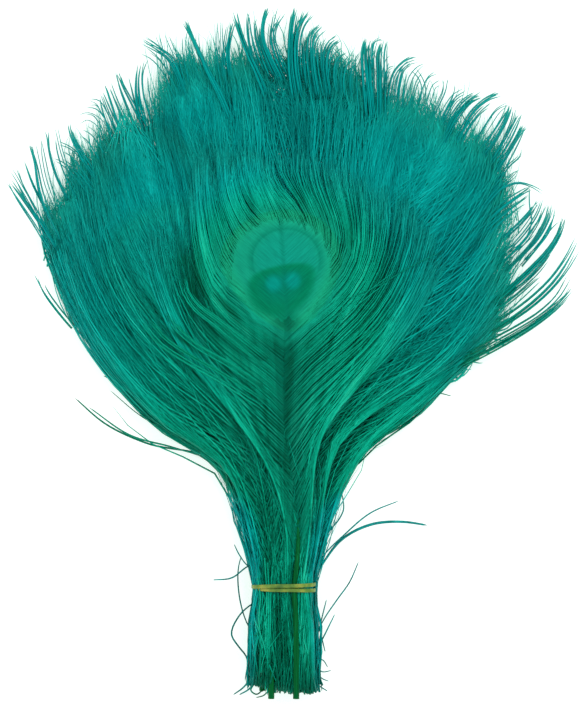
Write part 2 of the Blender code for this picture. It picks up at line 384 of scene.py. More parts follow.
# The eye's outline about its middle, in millimetres: its half-width, how far it goes up and down,
# the power that points its lower end, how its ends bow to the right, and how its crease leans.
EYE_MIDDLE = (-1.4, 5.5)
EYE_WIDE, EYE_UP, EYE_DOWN, EYE_POINT = 25.5, 21.5, 29.5, 1.5
EYE_BOW, EYE_LEAN = 0.0045, 0.07
EYE_LIFT = 1.8  # the top of an eye over the middle of its feather
EYE_RIM = 0.97  # how far out the vane of close-set barbs reaches
EYE_TURNS, EYE_RINGS = 200, 20  # of its mesh
EYE_THICKNESS = 0.7
UNDER_EYE = 1.1  # how far below the top of an eye the strands under it lie
# The ovals inside it: the middle, the half-width, and how far up and down they go.
EYE_DISC = ((0.8, 6.2), 14.6, 13.2, 15.0)
EYE_PUPIL = ((-1.2, -2.6), 14.8, 7.0, 15.5)
PUPIL_TILT, PUPIL_FLATNESS = -0.18, 2.6
EYE_TIP = ((0.8, -18.5), 7.0, 6.5, 6.5)
EYE_LOBES = ((-4.6, -3.8), (3.5, -2.6))
LOBE_SIZE = (4.0, 4.4, 4.4)
NO_EYE = 900.0  # the place about the eye that loose barbs are given, far from any

# Sizes of patterns, in millimetres: the dots of light along a barb, the streaks of the stems and
# of the quill's horn, the grain of its pith, and the band's patches of painted shade and highlight.
DOT_SPACING, DOT_ROWS = 1.3, 91.0
STEM_STREAK = (5.26, 33.3, 16.7)
HORN_STREAK = (0.455, 16.7, 0.455)
PITH_GRAIN = 0.4
BAND_SHADE_PATCH = 3.85
STEMS_HALF_WIDTH = 12.0
# How fast the streaks of the fan change across it and along its lines.
FAN_STREAK = (17.0, 0.014, 1.0)

# Painted shade, dark and green, beside the front feather's left edge and in the stems: the
# middle of each pool of it, its turn in degrees and its half-sizes.
SHADE_POOLS = (
    ((-42.5, 26.0), 14.0, (7.5, 30.0)),
    ((-27.5, 17.5), 44.0, (3.0, 17.0)),
    ((-18.5, 1.5), 50.0, (2.0, 12.0)),
    ((-47.0, 5.0), 50.0, (2.0, 13.0)),
    ((4.7, -128.0), -12.0, (1.2, 9.0)),
    ((-4.5, -124.0), 0.0, (1.4, 13.0)),
)
# Height of the middle of each pool of painted shade.
SHADE_POOL_HEIGHT = 12.0


def barb_material():
    """Dyed barbs: soft keratin strands fringed with barbules. Acid dye leaves them a deep even
    teal, with every strand a little lighter or darker, a soft satin gloss and a fuzzy edge."""
    material, tree, shader = new_material("dyed_feather_barbs")
    strand, lock, along, length = (
        add(tree, "Attribute", (), "Fac", attribute_name=name)
        for name in ("strand", "lock", "along", "length")
    )
    eye, line = (add(tree, "Attribute", (), "Vector", attribute_name=name) for name in ("eye", "line"))
    place = add(tree, "TexCoord", (), "Object")
    right, forward = (add(tree, "SeparateXYZ", (place,), axis) for axis in "XY")
    ex, ey, shown = (add(tree, "SeparateXYZ", (eye,), axis) for axis in "XYZ")
    edge = add(tree, "SeparateXYZ", (line,), "Z")

    # Barbules catch the light in dots along a barb.
    dots_along = add(tree, "Math", (length, DOT_SPACING), operation="DIVIDE")
    dots_across = add(tree, "Math", (strand, DOT_ROWS), operation="MULTIPLY")
    dots_at = add(tree, "CombineXYZ", (dots_along, dots_across))
    dots = add(tree, "TexNoise", (dots_at, 1.0, 1.0), noise_dimensions="2D")
    # Neighbouring barbs share their tone in long streaks that follow the fan's lines.
    streaks_at = add(tree, "VectorMath", (line, FAN_STREAK), operation="MULTIPLY")
    streaks = add(tree, "TexNoise", (streaks_at, 1.0, 4.0, 0.6), noise_dimensions="2D")
    # Towards the tips the barbules are finer and the barbs look more alike.
    sharp = add(tree, "MapRange", (forward, 30 * MM, 100 * MM, 0.38, 0.13), **SMOOTH)
    own = add(tree, "Math", (dots, strand), operation="ADD")
    own = add(tree, "Math", (own, 1.0), operation="SUBTRACT")
    own = add(tree, "Math", (own, sharp), operation="MULTIPLY")
    tone = add(tree, "Math", (lock, 0.2, own), operation="MULTIPLY_ADD")
    tone = add(tree, "Math", (streaks, 1.3, tone), operation="MULTIPLY_ADD")
    tone = add(tree, "Math", (tone, 0.19), operation="SUBTRACT")
    # The stems took the dye in broad lengthwise streaks.
    stem_at = add(tree, "VectorMath", (place, per_metre(*STEM_STREAK)), operation="MULTIPLY")
    stem = add(tree, "TexNoise", (stem_at, 1.0, 2.0))
    stem = add(tree, "Math", (stem, 1.6, -0.9), operation="MULTIPLY_ADD")
    in_stems = add(tree, "MapRange", (forward, -50 * MM, -100 * MM), **SMOOTH)
    tone = add(tree, "Math", (in_stems, stem, tone), operation="MULTIPLY_ADD")
    greens = ((0.0, "#00452e"), (0.3, "#016d51"), (0.55, "#049273"), (0.8, "#0ba888"), (1.0, "#1fb895"))
    blues = ((0.0, "#00605c"), (0.3, "#018280"), (0.55, "#03a09b"), (0.8, "#08b1aa"), (1.0, "#19bcb4"))
    green = add(tree, "ValToRGB", (tone,), stops=greens)
    blue = add(tree, "ValToRGB", (tone,), stops=blues)

    # The dye is bluer towards the tips and the sides, and greener about the eye.
    eye_colour, mask, outline = eye_colours(tree, ex, ey)
    near = add(tree, "MapRange", (outline, 2.6, 1.1), **SMOOTH)
    near = add(tree, "Math", (near, shown), operation="MULTIPLY")
    aside = add(tree, "Math", (right, right), operation="MULTIPLY")
    bluer = add(tree, "Math", (aside, 4.5, forward), operation="MULTIPLY_ADD")
    bluer = add(tree, "Math", (near, -0.075, bluer), operation="MULTIPLY_ADD")
    # So are the sides of the stems.
    from_axis = add(tree, "Math", (right, AXIS_X * MM), operation="SUBTRACT")
    from_axis = add(tree, "Math", (from_axis, STEMS_HALF_WIDTH * MM), operation="DIVIDE")
    from_axis = add(tree, "Math", (from_axis, from_axis), operation="MULTIPLY")
    stem_sides = add(tree, "MapRange", (forward, -50 * MM, -90 * MM, 0.0, 0.14), **SMOOTH)
    bluer = add(tree, "Math", (from_axis, stem_sides, bluer), operation="MULTIPLY_ADD")
    # Loose barbs have no place about the eye. They lie over the hollows and take none of the painted shade
    # there, and are green below it.
    loose = add(tree, "Math", (ex, NO_EYE / 2), operation="GREATER_THAN")
    below_eye = add(tree, "MapRange", (forward, 60 * MM, 40 * MM, 0.0, -0.05), **SMOOTH)
    bluer = add(tree, "Math", (loose, below_eye, bluer), operation="MULTIPLY_ADD")
    bluer = add(tree, "MapRange", (bluer, -0.035, 0.06), **SMOOTH)
    body = add(tree, "Mix", (bluer, green, blue), **MIXED)
    takes_shade = add(tree, "Math", (loose, -0.85, 0.85), operation="MULTIPLY_ADD")
    # Each pool mixes the dark green of painted shade into the strands under it.
    for (x, y), turn, (wide, long) in SHADE_POOLS:
        middle = (x * MM, y * MM, SHADE_POOL_HEIGHT * MM)
        turned, size = (0.0, 0.0, math.radians(turn)), (wide * MM, long * MM, 1.0)
        shade_pool = add(tree, "Mapping", (place, middle, turned, size), vector_type="TEXTURE")
        shade_pool = add(tree, "VectorMath", (shade_pool,), operation="LENGTH")
        shade_pool = add(tree, "MapRange", (shade_pool, 1.0, 0.1), **SMOOTH)
        shade_pool = add(tree, "Math", (shade_pool, takes_shade), operation="MULTIPLY")
        body = add(tree, "Mix", (shade_pool, body, linear("#014f33")), **MIXED)

    # Roots lie in painted shade, and painted light makes ends and the fan's dense edge paler.
    rooted = add(tree, "MapRange", (along, 0.3, 0.0, 0.0, 0.6), **SMOOTH)
    body = add(tree, "Mix", (rooted, body, linear("#015740")), **MIXED)
    ends = add(tree, "MapRange", (along, 0.72, 1.0, 0.0, 0.45), **SMOOTH)
    body = add(tree, "Mix", (ends, body, linear("#1ab09c")), **MIXED)
    edge = add(tree, "Math", (edge, 0.6), operation="MULTIPLY")
    body = add(tree, "Mix", (edge, body, linear("#22c4ae")), **MIXED)
    shade = add(tree, "ValToRGB", (tone,), stops=((0.1, "#d4d4d4"), (0.5, "#fafafa"), (0.9, "#ffffff")))
    eye_colour = add(tree, "Mix", (1.0, eye_colour, shade), **MULTIPLIED)
    mask = add(tree, "Math", (mask, shown), operation="MULTIPLY")
    body = add(tree, "Mix", (mask, body, eye_colour), **MIXED)
    tree.links.new(body, shader.inputs["Base Color"])
    shader.inputs["Roughness"].default_value = 0.5
    shader.inputs["IOR"].default_value = 1.54
    shader.inputs["Specular IOR Level"].default_value = 0.4
    shader.inputs["Specular Tint"].default_value = linear("#20e0c0")
    return material


def eye_colours(tree, ex, ey):
    """The eye's colours from the place about its middle, in millimetres, and where they show.

    Its outline is round above and comes to a soft point below: the power sum of x over EYE_WIDE
    and y over EYE_UP or EYE_DOWN, with the power 2 above the middle and EYE_POINT below it. The
    dark pupil is a flat-topped, tilted oval of its own with two bluish lobes."""

    def oval(x, y, middle, wide, up, down, power_up=2.0, power_down=2.0):
        """How far out a place is: 0 at the middle and 1 on the oval."""
        x = add(tree, "Math", (x, middle[0]), operation="SUBTRACT")
        x = add(tree, "Math", (x, wide), operation="DIVIDE")
        x = add(tree, "Math", (x,), operation="ABSOLUTE")
        y = add(tree, "Math", (y, middle[1]), operation="SUBTRACT")
        above = add(tree, "Math", (y, 0.0), operation="GREATER_THAN")
        tall = add(tree, "Math", (above, up - down, down), operation="MULTIPLY_ADD")
        power = add(tree, "Math", (above, power_up - power_down, power_down), operation="MULTIPLY_ADD")
        y = add(tree, "Math", (y, tall), operation="DIVIDE")
        y = add(tree, "Math", (y,), operation="ABSOLUTE")
        x = add(tree, "Math", (x, power), operation="POWER")
        y = add(tree, "Math", (y, power), operation="POWER")
        total = add(tree, "Math", (x, y), operation="ADD")
        root = add(tree, "Math", (1.0, power), operation="DIVIDE")
        return add(tree, "Math", (total, root), operation="POWER")

    from_middle = add(tree, "Math", (ey, EYE_MIDDLE[1]), operation="SUBTRACT")
    bow = add(tree, "Math", (from_middle, from_middle), operation="MULTIPLY")
    bowed = add(tree, "Math", (bow, -EYE_BOW, ex), operation="MULTIPLY_ADD")
    outline = oval(bowed, ey, EYE_MIDDLE, EYE_WIDE, EYE_UP, EYE_DOWN, 2.0, EYE_POINT)
    disc = oval(ex, ey, *EYE_DISC)
    # A faint dark arc divides the inner disc from the lighter ring, and the ring's sides fade.
    rings = ((0.0, "#119274"), (0.70, "#139475"), (0.88, "#179e75"), (1.0, "#109a74"), (1.2, "#0e9a7c"))
    inner = ((0.0, "#0d907b"), (0.80, "#0e8f77"), (0.90, "#0f8f74"), (0.96, "#098066"), (1.0, "#0b8468"))
    ring_colour = add(tree, "ValToRGB", (outline,), stops=rings)
    disc_colour = add(tree, "ValToRGB", (disc,), stops=inner)
    low = add(tree, "MapRange", (ey, -6.0, 4.0), **SMOOTH)
    in_disc = add(tree, "MapRange", (disc, 0.96, 1.16, 1.0, 0.0), **SMOOTH)
    in_disc = add(tree, "Math", (in_disc, low), operation="MULTIPLY")
    colour = add(tree, "Mix", (in_disc, ring_colour, disc_colour), **MIXED)
    tilted = add(tree, "Math", (ex, PUPIL_TILT, ey), operation="MULTIPLY_ADD")
    pupil = oval(ex, tilted, *EYE_PUPIL, PUPIL_FLATNESS)
    dark = ((0.0, "#027463"), (0.45, "#027356"), (0.75, "#027550"), (0.95, "#037c56"), (1.0, "#078563"))
    pupil_colour = add(tree, "ValToRGB", (pupil,), stops=dark)
    in_pupil = add(tree, "MapRange", (pupil, 0.8, 1.12, 1.0, 0.0), **SMOOTH)
    colour = add(tree, "Mix", (in_pupil, colour, pupil_colour), **MIXED)
    tip = oval(ex, ey, *EYE_TIP)
    in_tip = add(tree, "MapRange", (tip, 0.2, 1.1, 0.9, 0.0), **SMOOTH)
    colour = add(tree, "Mix", (in_tip, colour, linear("#037252")), **MIXED)
    crease = add(tree, "Math", (ey, EYE_LEAN, ex), operation="MULTIPLY_ADD")
    crease = add(tree, "Math", (crease,), operation="ABSOLUTE")
    crease = add(tree, "MapRange", (crease, 0.2, 1.6, 0.3, 0.0), **SMOOTH)
    colour = add(tree, "Mix", (crease, colour, linear("#026a52")), **MIXED)
    for middle in EYE_LOBES:
        lobe = oval(ex, ey, middle, *LOBE_SIZE)
        in_lobe = add(tree, "MapRange", (lobe, 0.3, 1.1, 0.9, 0.0), **SMOOTH)
        colour = add(tree, "Mix", (in_lobe, colour, linear("#048c7e")), **MIXED)
    # The vane's own barbs run out from the crease as a faint weave.
    aside = add(tree, "Math", (ex,), operation="ABSOLUTE")
    slanted = add(tree, "Math", (aside, -0.9, ey), operation="MULTIPLY_ADD")
    stretched = add(tree, "Math", (ex, 0.12), operation="MULTIPLY")
    weave_at = add(tree, "CombineXYZ", (slanted, stretched))
    weave = add(tree, "TexNoise", (weave_at, 1.5, 3.0), noise_dimensions="2D")
    weave = add(tree, "ValToRGB", (weave,), stops=((0.3, "#dcdcdc"), (0.7, "#ffffff")))
    colour = add(tree, "Mix", (1.0, colour, weave), **MULTIPLIED)
    mask = add(tree, "MapRange", (outline, 0.95, 1.3, 1.0, 0.0), **SMOOTH)
    return colour, mask, outline


def shaft_material():
    """Dyed quill: smooth horn that takes the dye darker and greener than the barbs, with a low
    polish and faint lengthwise streaks."""
    material, tree, shader = new_material("dyed_quill_horn")
    place = add(tree, "TexCoord", (), "Object")
    stretched = add(tree, "VectorMath", (place, per_metre(*HORN_STREAK)), operation="MULTIPLY")
    streaks = add(tree, "TexNoise", (stretched, 1.0, 3.0))
    greens = ((0.3, "#013d1a"), (0.55, "#035322"), (0.8, "#0a6a3a"))
    colour = add(tree, "ValToRGB", (streaks,), stops=greens)
    tree.links.new(colour, shader.inputs["Base Color"])
    shader.inputs["Roughness"].default_value = 0.45
    shader.inputs["IOR"].default_value = 1.54
    shader.inputs["Specular IOR Level"].default_value = 0.25
    shader.inputs["Specular Tint"].default_value = linear("#40e0a8")
    return material


def pith_material():
    """The cut end of a quill: pale spongy pith that drank the dye unevenly."""
    material, tree, shader = new_material("quill_pith")
    place = add(tree, "TexCoord", (), "Object")
    grain = add(tree, "TexNoise", (place, *per_metre(PITH_GRAIN), 2.0))
    colour = add(tree, "ValToRGB", (grain,), stops=((0.3, "#3f9a78"), (0.7, "#8cc7a6")))
    tree.links.new(colour, shader.inputs["Base Color"])
    shader.inputs["Roughness"].default_value = 0.8
    return material


def band_material():
    """Natural latex band: yellow-green rubber, matt with a waxy gleam, in random patches of painted shade
    and painted highlight.
    """
    material, tree, shader = new_material("natural_latex_band")
    place = add(tree, "TexCoord", (), "Object")
    # Random patches that mix the band's painted shade and painted highlight colours.
    highlight_and_shade = add(tree, "TexNoise", (place, *per_metre(BAND_SHADE_PATCH), 3.0))
    lit_and_shaded_yellows = ((0.3, "#35601a"), (0.5, "#5d8024"), (0.72, "#959a34"))
    colour = add(tree, "ValToRGB", (highlight_and_shade,), stops=lit_and_shaded_yellows)
    tree.links.new(colour, shader.inputs["Base Color"])
    shader.inputs["Roughness"].default_value = 0.42
    shader.inputs["Specular IOR Level"].default_value = 0.45
    return material


# ---------------------------------------------------------------- feathers


class Feather:
    """One feather's shaft line and the rules by which its strands grow."""

    def __init__(self, index):
        spec = FEATHERS[index]
        self.node, self.place, self.reach, left, right, self.count = spec[:6]
        eye_drop, self.eye_shows, self.comb, self.cups = spec[6:]
        self.has_eye = self.cups > EYE_FROM_CUPS
        self.level = len(FEATHERS) - 1 - index
        self.waist_middle = (left + right) / 2 / WAIST_HALF_WIDTH
        self.waist_half = (right - left) / 2 / WAIST_HALF_WIDTH
        self.fan_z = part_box(self.node)[0].z / MM
        self.eye_v = self.reach - eye_drop
        self.shaft_end = min(
            self.reach - SHAFT_SHORT_OF_END,
            np.interp(self.place, *np.array(TIPS).T) - SHAFT_SHORT_OF_TIPS,
        )

    def shaft_u(self, v):
        """The shaft's place across the fan: from its place in the waist to its own."""
        return self.waist_middle + (self.place - self.waist_middle) * eased(v, *SWING_OVER)

    def room(self, side, v):
        """How far across the fan strands may lie from the shaft, on one side."""
        grown = eased(v, SWING_OVER[0], WIDEST_AT)
        half = self.waist_half + (VANE_HALF_WIDTH - self.waist_half) * grown
        low, high = EDGE_OF_FAN[side]
        edge = low + (high - low) * eased(v, *EDGE_CHANGES)
        return np.clip(np.minimum(half, edge - side * self.shaft_u(v)), 0.04, None)

    def middle_z(self, v):
        """Height over the table: that of its row in the waist, and that of its slab in the fan."""
        row = self.level // ROW_LEVELS
        waist = WAIST_LIFT + row * ROW + ROW_THICKNESS / 2
        fan = self.fan_z + SLAB / 2 + WAIST_LIFT * (1.0 - eased(v, *LIFT_OVER))
        flat = eased(v, *SPREAD_OVER)
        return waist + (fan - waist) * flat

    def half_z(self, v):
        """Half the height that its strands take up."""
        fan = 1.1 - 0.4 * eased(v, 170.0, 220.0)
        return ROW_THICKNESS / 2 + (fan - ROW_THICKNESS / 2) * eased(v, *SPREAD_OVER)

    def eye_frame(self):
        """The eye's middle on the table, and the direction of the shaft there."""
        v = np.array([self.eye_v - 1.0, self.eye_v, self.eye_v + 1.0])
        x, y = FAN.place(self.shaft_u(v), v)
        way = np.array([x[2] - x[0], y[2] - y[0]])
        return np.array([x[1], y[1]]), way / np.linalg.norm(way)

    def about_eye(self, x, y):
        """How far right and forward of the eye's middle places on the table are."""
        middle, way = self.eye_frame()
        x, y = x - middle[0], y - middle[1]
        return x * way[1] - y * way[0], x * way[0] + y * way[1]

    def from_eye(self, right, forward):
        """The places on the table that are so far right and forward of the eye's middle."""
        middle, way = self.eye_frame()
        x = middle[0] + right * way[1] + forward * way[0]
        return x, middle[1] - right * way[0] + forward * way[1]


LOCK, TRESS = 1.2, 9.0  # spacing of small and of large locks along a shaft
PITCH = 1.15  # spacing of the barbs in the top row of each side of a shaft
ROOT_CLING = 0.68  # 1 would start a strand along the shaft, 0 would start it straight away
CELL = 0.022  # width of the bunches that tips gather in, as a part of the fan
LOCKS_MOST, TRESSES_MOST, CELLS_MOST = 400, 60, 200  # how many of each have their own way
STRAY_SHARE = 0.07  # strands that leave the others' way near their ends
SHORTEST = 14.0  # how long a strand is at least
OVER_TABLE = 0.6  # how high the middle of a strand stays
MIDDLE_OF_FAN = 0.2  # feathers nearer the middle line than this have two equal sides

# Growth rules, by how far below the eye's middle a strand is rooted: how long it is, how far
# from the shaft it ends, and how early it turns forward.
CUPPED_LENGTHS = ((-30, 20), (0, 52), (27, 74), (47, 88), (67, 98), (87, 108), (115, 115), (175, 110))
CUPPED_LEFT = (
    *((-30, 2), (-18, 7), (-3, 14), (12, 22), (27, 31), (39, 37), (46, 50)),
    *((67, 76), (87, 92), (110, 104), (140, 110)),
)
CUPPED_RIGHT = (
    *((-30, 1), (-18, 5), (-3, 11), (12, 19), (27, 27), (41, 38), (52, 52)),
    *((67, 70), (87, 90), (110, 104), (140, 110)),
)
LEFT_TURN = ((-30, 3.6), (0, 7.0), (15, 7.5), (30, 6.2), (45, 4.2), (60, 3.2), (100, 2.8))
RIGHT_TURN = ((-30, 3.0), (0, 5.5), (15, 6.0), (30, 5.0), (45, 3.6), (60, 3.0), (100, 2.6))
# Left of the cup, between these places, most strands of the front feather are cut short.
GAP, GAP_SHARE = (40.0, 60.0), 0.85
PLAIN_LENGTHS = ((-30, 24), (0, 60), (30, 92), (60, 112), (100, 125), (175, 135))
PLAIN = ((-30, 2), (-15, 5), (0, 10), (30, 21), (60, 36), (100, 58), (140, 82))
PLAIN_TURN = ((-30, 2.6), (30, 3.2), (100, 3.4), (175, 3.0))
# How far strands go on the side towards the fan's middle and on the outer side, as a part of the
# rule and by the feather's side of the fan.
SIDE_REACH = {-1: (0.85, 0.45), 1: (0.35, 1.0)}


def by_rule(rule, below):
    """A rule's value, in proportion between its places."""
    return np.interp(below, *np.array(rule, float).T)


def growth(feather, below, sign, own):
    """How far from the shaft strands end and how early they turn forward, by how far below the
    eye's middle they are rooted and by each strand's own random number."""
    cupped = np.where(sign < 0, by_rule(CUPPED_LEFT, below), by_rule(CUPPED_RIGHT, below))
    cupped = cupped * (1.0 + 0.25 * own * eased(below, 55.0, 85.0))
    plain = by_rule(PLAIN, below) * (1.0 + 0.4 * own)
    if abs(feather.place) > MIDDLE_OF_FAN:
        high = eased(below, 100.0, 50.0)
        inner, outer = SIDE_REACH[-1 if feather.place < 0 else 1]
        plain = plain * (1.0 - (1.0 - np.where(sign * feather.place < 0, inner, outer)) * high)
    reach = plain + (cupped - plain) * feather.cups
    plain = by_rule(PLAIN_TURN, below)
    cupped = np.where(sign < 0, by_rule(LEFT_TURN, below), by_rule(RIGHT_TURN, below))
    return reach, plain + (cupped - plain) * feather.cups


def soft_limit(value, limit, over):
    """The value where it is far below the limit, and the limit where it is far above, with a
    smooth turn between: limit - over * log(1 + exp((limit - value) / over))."""
    return limit - np.logaddexp(0.0, (limit - value) / over) * over


def strand_ends(feather, root, below, sign, reach, ragged, stray, cells):
    """Where strands end: how far along the fan's lines, how much of its way each one runs, and the
    place across the fan and the bunch of tips that it ends in.

    A strand is as long as the growth rules say, but stops about where the dense mass of tips
    does. Left of the cup most are cut short, and one with no room to run hides by the shaft."""
    plain = by_rule(PLAIN_LENGTHS, below)
    length = plain + (by_rule(CUPPED_LENGTHS, below) - plain) * feather.cups
    gap = eased(below, GAP[0] - 2, GAP[0] + 2) * eased(below, GAP[1] + 6, GAP[1])
    gap = gap * (sign < 0) * feather.cups * (RANDOM.uniform(size=root.shape) < GAP_SHARE)
    end = root + length + ragged
    tip_width = np.where(sign > 0, FAN.width(1, end), FAN.width(-1, end))
    tip_room = np.where(sign > 0, feather.room(1, end), feather.room(-1, end))
    tip_u = feather.shaft_u(end) + sign * tip_room * np.tanh(reach / (tip_width * tip_room))
    cell = np.floor(tip_u / CELL + CELLS_MOST / 2)
    cell_rand = cells[cell[:, 0].astype(int)]
    past = 3.5 * RANDOM.exponential(size=root.shape) - 4.0
    limit = by_rule(TIPS, tip_u) + past + 1.5 * cell_rand[:, :1] + 3.0 * stray
    end = soft_limit(end, limit, 4.0) + 2.0
    cramped = end < root + SHORTEST
    trim = (1.0 - 0.55 * gap) * np.where(cramped, 0.3, 1.0)
    return np.maximum(end, root + SHORTEST), trim, tip_u, cell, cell_rand


def wander(feather, t, own, lock_rand, tress_rand, loose, stray):
    """How far strands leave their even way, in millimetres, by small and large locks and each
    by its own, with a slow wave along the loose ones."""
    own_way = tress_rand[:, :1] * (1.0 - 0.6 * feather.cups)
    off = (0.8 * lock_rand[:, 2:3] * loose + own_way) * t**1.6
    off = off + 0.5 * own[:, 2:3] * t * loose + (0.6 + 2.2 * stray) * own[:, 3:4] * t**5
    wave = 2 * np.pi * t * (2.5 + 0.8 * own[:, 4:5]) + 6.0 * own[:, 5:6]
    return off + 0.45 * np.sin(wave) * t**1.5 * (loose + stray)


def strand_paths(feather, root, side, in_row, rings):
    """Paths of strands rooted at distances root along a shaft.

    Each strand runs forward through the fan and away from the shaft by reach * (1 - (1 - t)^turn
    * (1 + cling * turn * t)), where t goes from 0 at the root to 1 at the tip: steep at first,
    then level with the shaft. Strands in the top row stay in order, and the loose ones under
    them gather in locks."""
    count = len(root)
    t = np.linspace(0.0, 1.0, rings)[None, :] ** 0.9
    lock_index = np.floor(root / LOCK + 0.13 * side).astype(int)
    tress_index = np.floor(root / TRESS + 0.31 * side).astype(int)
    lock_root = (lock_index + 0.5) * LOCK
    tress_root = (tress_index + 0.5) * TRESS
    seeds = np.random.default_rng(400 + feather.level)
    pick = (side > 0).astype(int)
    lock_rand = seeds.normal(size=(2, LOCKS_MOST, 6))[pick, lock_index % LOCKS_MOST]
    tress_rand = seeds.normal(size=(2, TRESSES_MOST, 4))[pick, tress_index % TRESSES_MOST]
    cells = seeds.normal(size=(CELLS_MOST, 4))
    own = RANDOM.normal(size=(count, 8))
    in_row = in_row[:, None]
    loose = 1.0 - in_row
    stray = loose * (RANDOM.uniform(size=(count, 1)) < STRAY_SHARE)
    sign = side[:, None]

    # A lock's strands draw together for a while, and those of a tress a little.
    towards_lock = 0.5 * t * (1.0 - 0.55 * t**2) * loose
    effective = root[:, None] + (lock_root - root)[:, None] * towards_lock
    effective = effective + (tress_root[:, None] - effective) * 0.15 * t**2
    below = feather.eye_v - effective
    reach, turn = growth(feather, below, sign, own[:, 1:2])
    ragged = (1.5 + 1.5 * loose) * own[:, :1] + 2.0 * tress_rand[:, 3:4] - 2.0 - 2.0 * loose
    ends = strand_ends(
        feather, effective[:, :1], below[:, :1], sign, reach[:, -1:], ragged, stray, cells
    )
    end, trim, tip_u, cell, cell_rand = ends
    # A trimmed strand runs along the same path and stops early.
    tip_t, t = t, t * trim
    away = reach * (1.0 - (1.0 - t) ** turn * (1.0 + ROOT_CLING * turn * t))
    v = effective + (end - effective) * t

    away = away + wander(feather, t, own, lock_rand, tress_rand, loose, stray)

    room = np.where(sign > 0, feather.room(1, v), feather.room(-1, v))
    room = room * (0.96 + 0.04 * np.tanh(lock_rand[:, 5:6]) * t)
    width = np.where(sign > 0, FAN.width(1, v), FAN.width(-1, v))
    across = room * np.tanh(away / (width * room))
    fade = np.where(sign > 0, eased(below, 45.0, -5.0), 0.3 * eased(below, 30.0, 0.0))
    comb = feather.comb * eased(v, feather.eye_v + 7.0, feather.eye_v + 44.0) * fade
    u = feather.shaft_u(v) + sign * across + comb / width
    # Only the front feather's shaft line shows: over the others, roots lie here and there.
    astray = 0.05 * own[:, 4:5] * (1.0 - feather.cups) * eased(v, 80.0, 130.0)
    u = u + astray * (1.0 - t)
    bunch = (cell + 0.5 - CELLS_MOST / 2) * CELL - tip_u
    u = u + bunch * 0.35 * t**4
    # Tips at the sides of the fan curl forward.
    curl = 3.0 + 1.5 * cell_rand[:, 1:2] + 0.9 * own[:, 7:8] + 2.5 * eased(-u, 0.4, 0.8)
    u = u - curl / width * np.tanh(u * 3.0) * t**6
    u = u + 0.8 * own[:, 6:7] / width * t**8
    x, y = FAN.place(u, v)

    # The top row lies over the loose strands, and those at the cup's left rise over the hollow.
    layer = (0.35 * np.tanh(lock_rand[:, 3:4]) + 0.45 * np.tanh(own[:, 7:8]) - 0.3) * loose
    layer = layer + in_row * (0.75 + 0.2 * np.tanh(own[:, 7:8]))
    z = feather.middle_z(v) + feather.half_z(v) * layer
    z = z + 0.5 * np.sin(np.pi * np.clip(t * 1.2, 0, 1)) + 0.5 * tress_rand[:, 1:2] * t**2
    cup_lift = eased(below, 12.0, 24.0) * eased(below, 42.0, 36.0) * (sign < 0) * feather.cups
    z = z + 2.5 * cup_lift * np.sin(np.pi * t)
    z = np.maximum(z + 2.0 * stray * t**2, OVER_TABLE)
    # A strand's tone rises with its layer, so lower strands are darker: painted shade from those above.
    tones = np.stack([lock_rand[:, 4] * loose[:, 0], own[:, 0] + 0.8 * layer[:, 0], tress_rand[:, 2]], 1)
    return np.stack([x, y, z], 2), np.stack([u, v], 2), tip_t, tones, stray


STRAND_RINGS = 10
STEM_STRANDS = 120  # strands of each feather that the cut went through
STEMS_OVER_TABLE = 0.4
COVERED_LEVELS = 6  # feathers so deep in the bunch that they only fill it
# How loose strands are shared out along a shaft: near the cut, in the waist and the neck, below
# the eye, about it and beyond it.
LOOSE_SHARES = (0.0, 0.04, 0.08, 0.36, 0.30, 0.22)
LOOSE_SHARES_WITH_EYE = (0.0, 0.12, 0.16, 0.34, 0.24, 0.14)


def stem_paths(feather, rings):
    """Paths of strands whose roots were cut away: they start at the cut ends, fill the feather's
    place in the waist and run on into the neck, each keeping its share of the room."""
    share = RANDOM.uniform(-1.0, 1.0, (STEM_STRANDS, 1))
    from_middle = feather.waist_middle + share * feather.waist_half
    start = 3.4 + 2.0 * eased(-from_middle, 0.0, 0.6) + RANDOM.gamma(1.6, 1.5, (STEM_STRANDS, 1))
    end = RANDOM.uniform(58.0, 128.0, (STEM_STRANDS, 1))
    t = np.linspace(0.0, 1.0, rings)[None, :]
    v = start + (end - start) * t
    room = np.where(share > 0, feather.room(1, v), feather.room(-1, v))
    weave = 0.45 * np.sin(t * RANDOM.uniform(2.0, 12.0, share.shape) + RANDOM.uniform(0, 6, share.shape))
    bent = 0.05 + 0.16 * (RANDOM.uniform(size=share.shape) < 0.2)
    splay = bent * RANDOM.normal(size=share.shape) * np.exp(-v / 7.0)
    u = feather.shaft_u(v) + (share + weave) * room + splay
    x, y = FAN.place(u, v)
    layer = RANDOM.uniform(-1.0, 1.0, share.shape)
    bulge = 0.7 * (feather.level // ROW_LEVELS - 1.5) / 1.5 * (1.0 - eased(v, *SPREAD_OVER))
    z = feather.middle_z(v) + feather.half_z(v) * layer + bulge + 0.8 * np.exp(-v / 6.0) * layer
    z = np.maximum(z, STEMS_OVER_TABLE)
    tones = 1.1 * RANDOM.normal(size=(STEM_STRANDS, 3))
    return np.stack([x, y, z], 2), np.stack([u, v], 2), tones


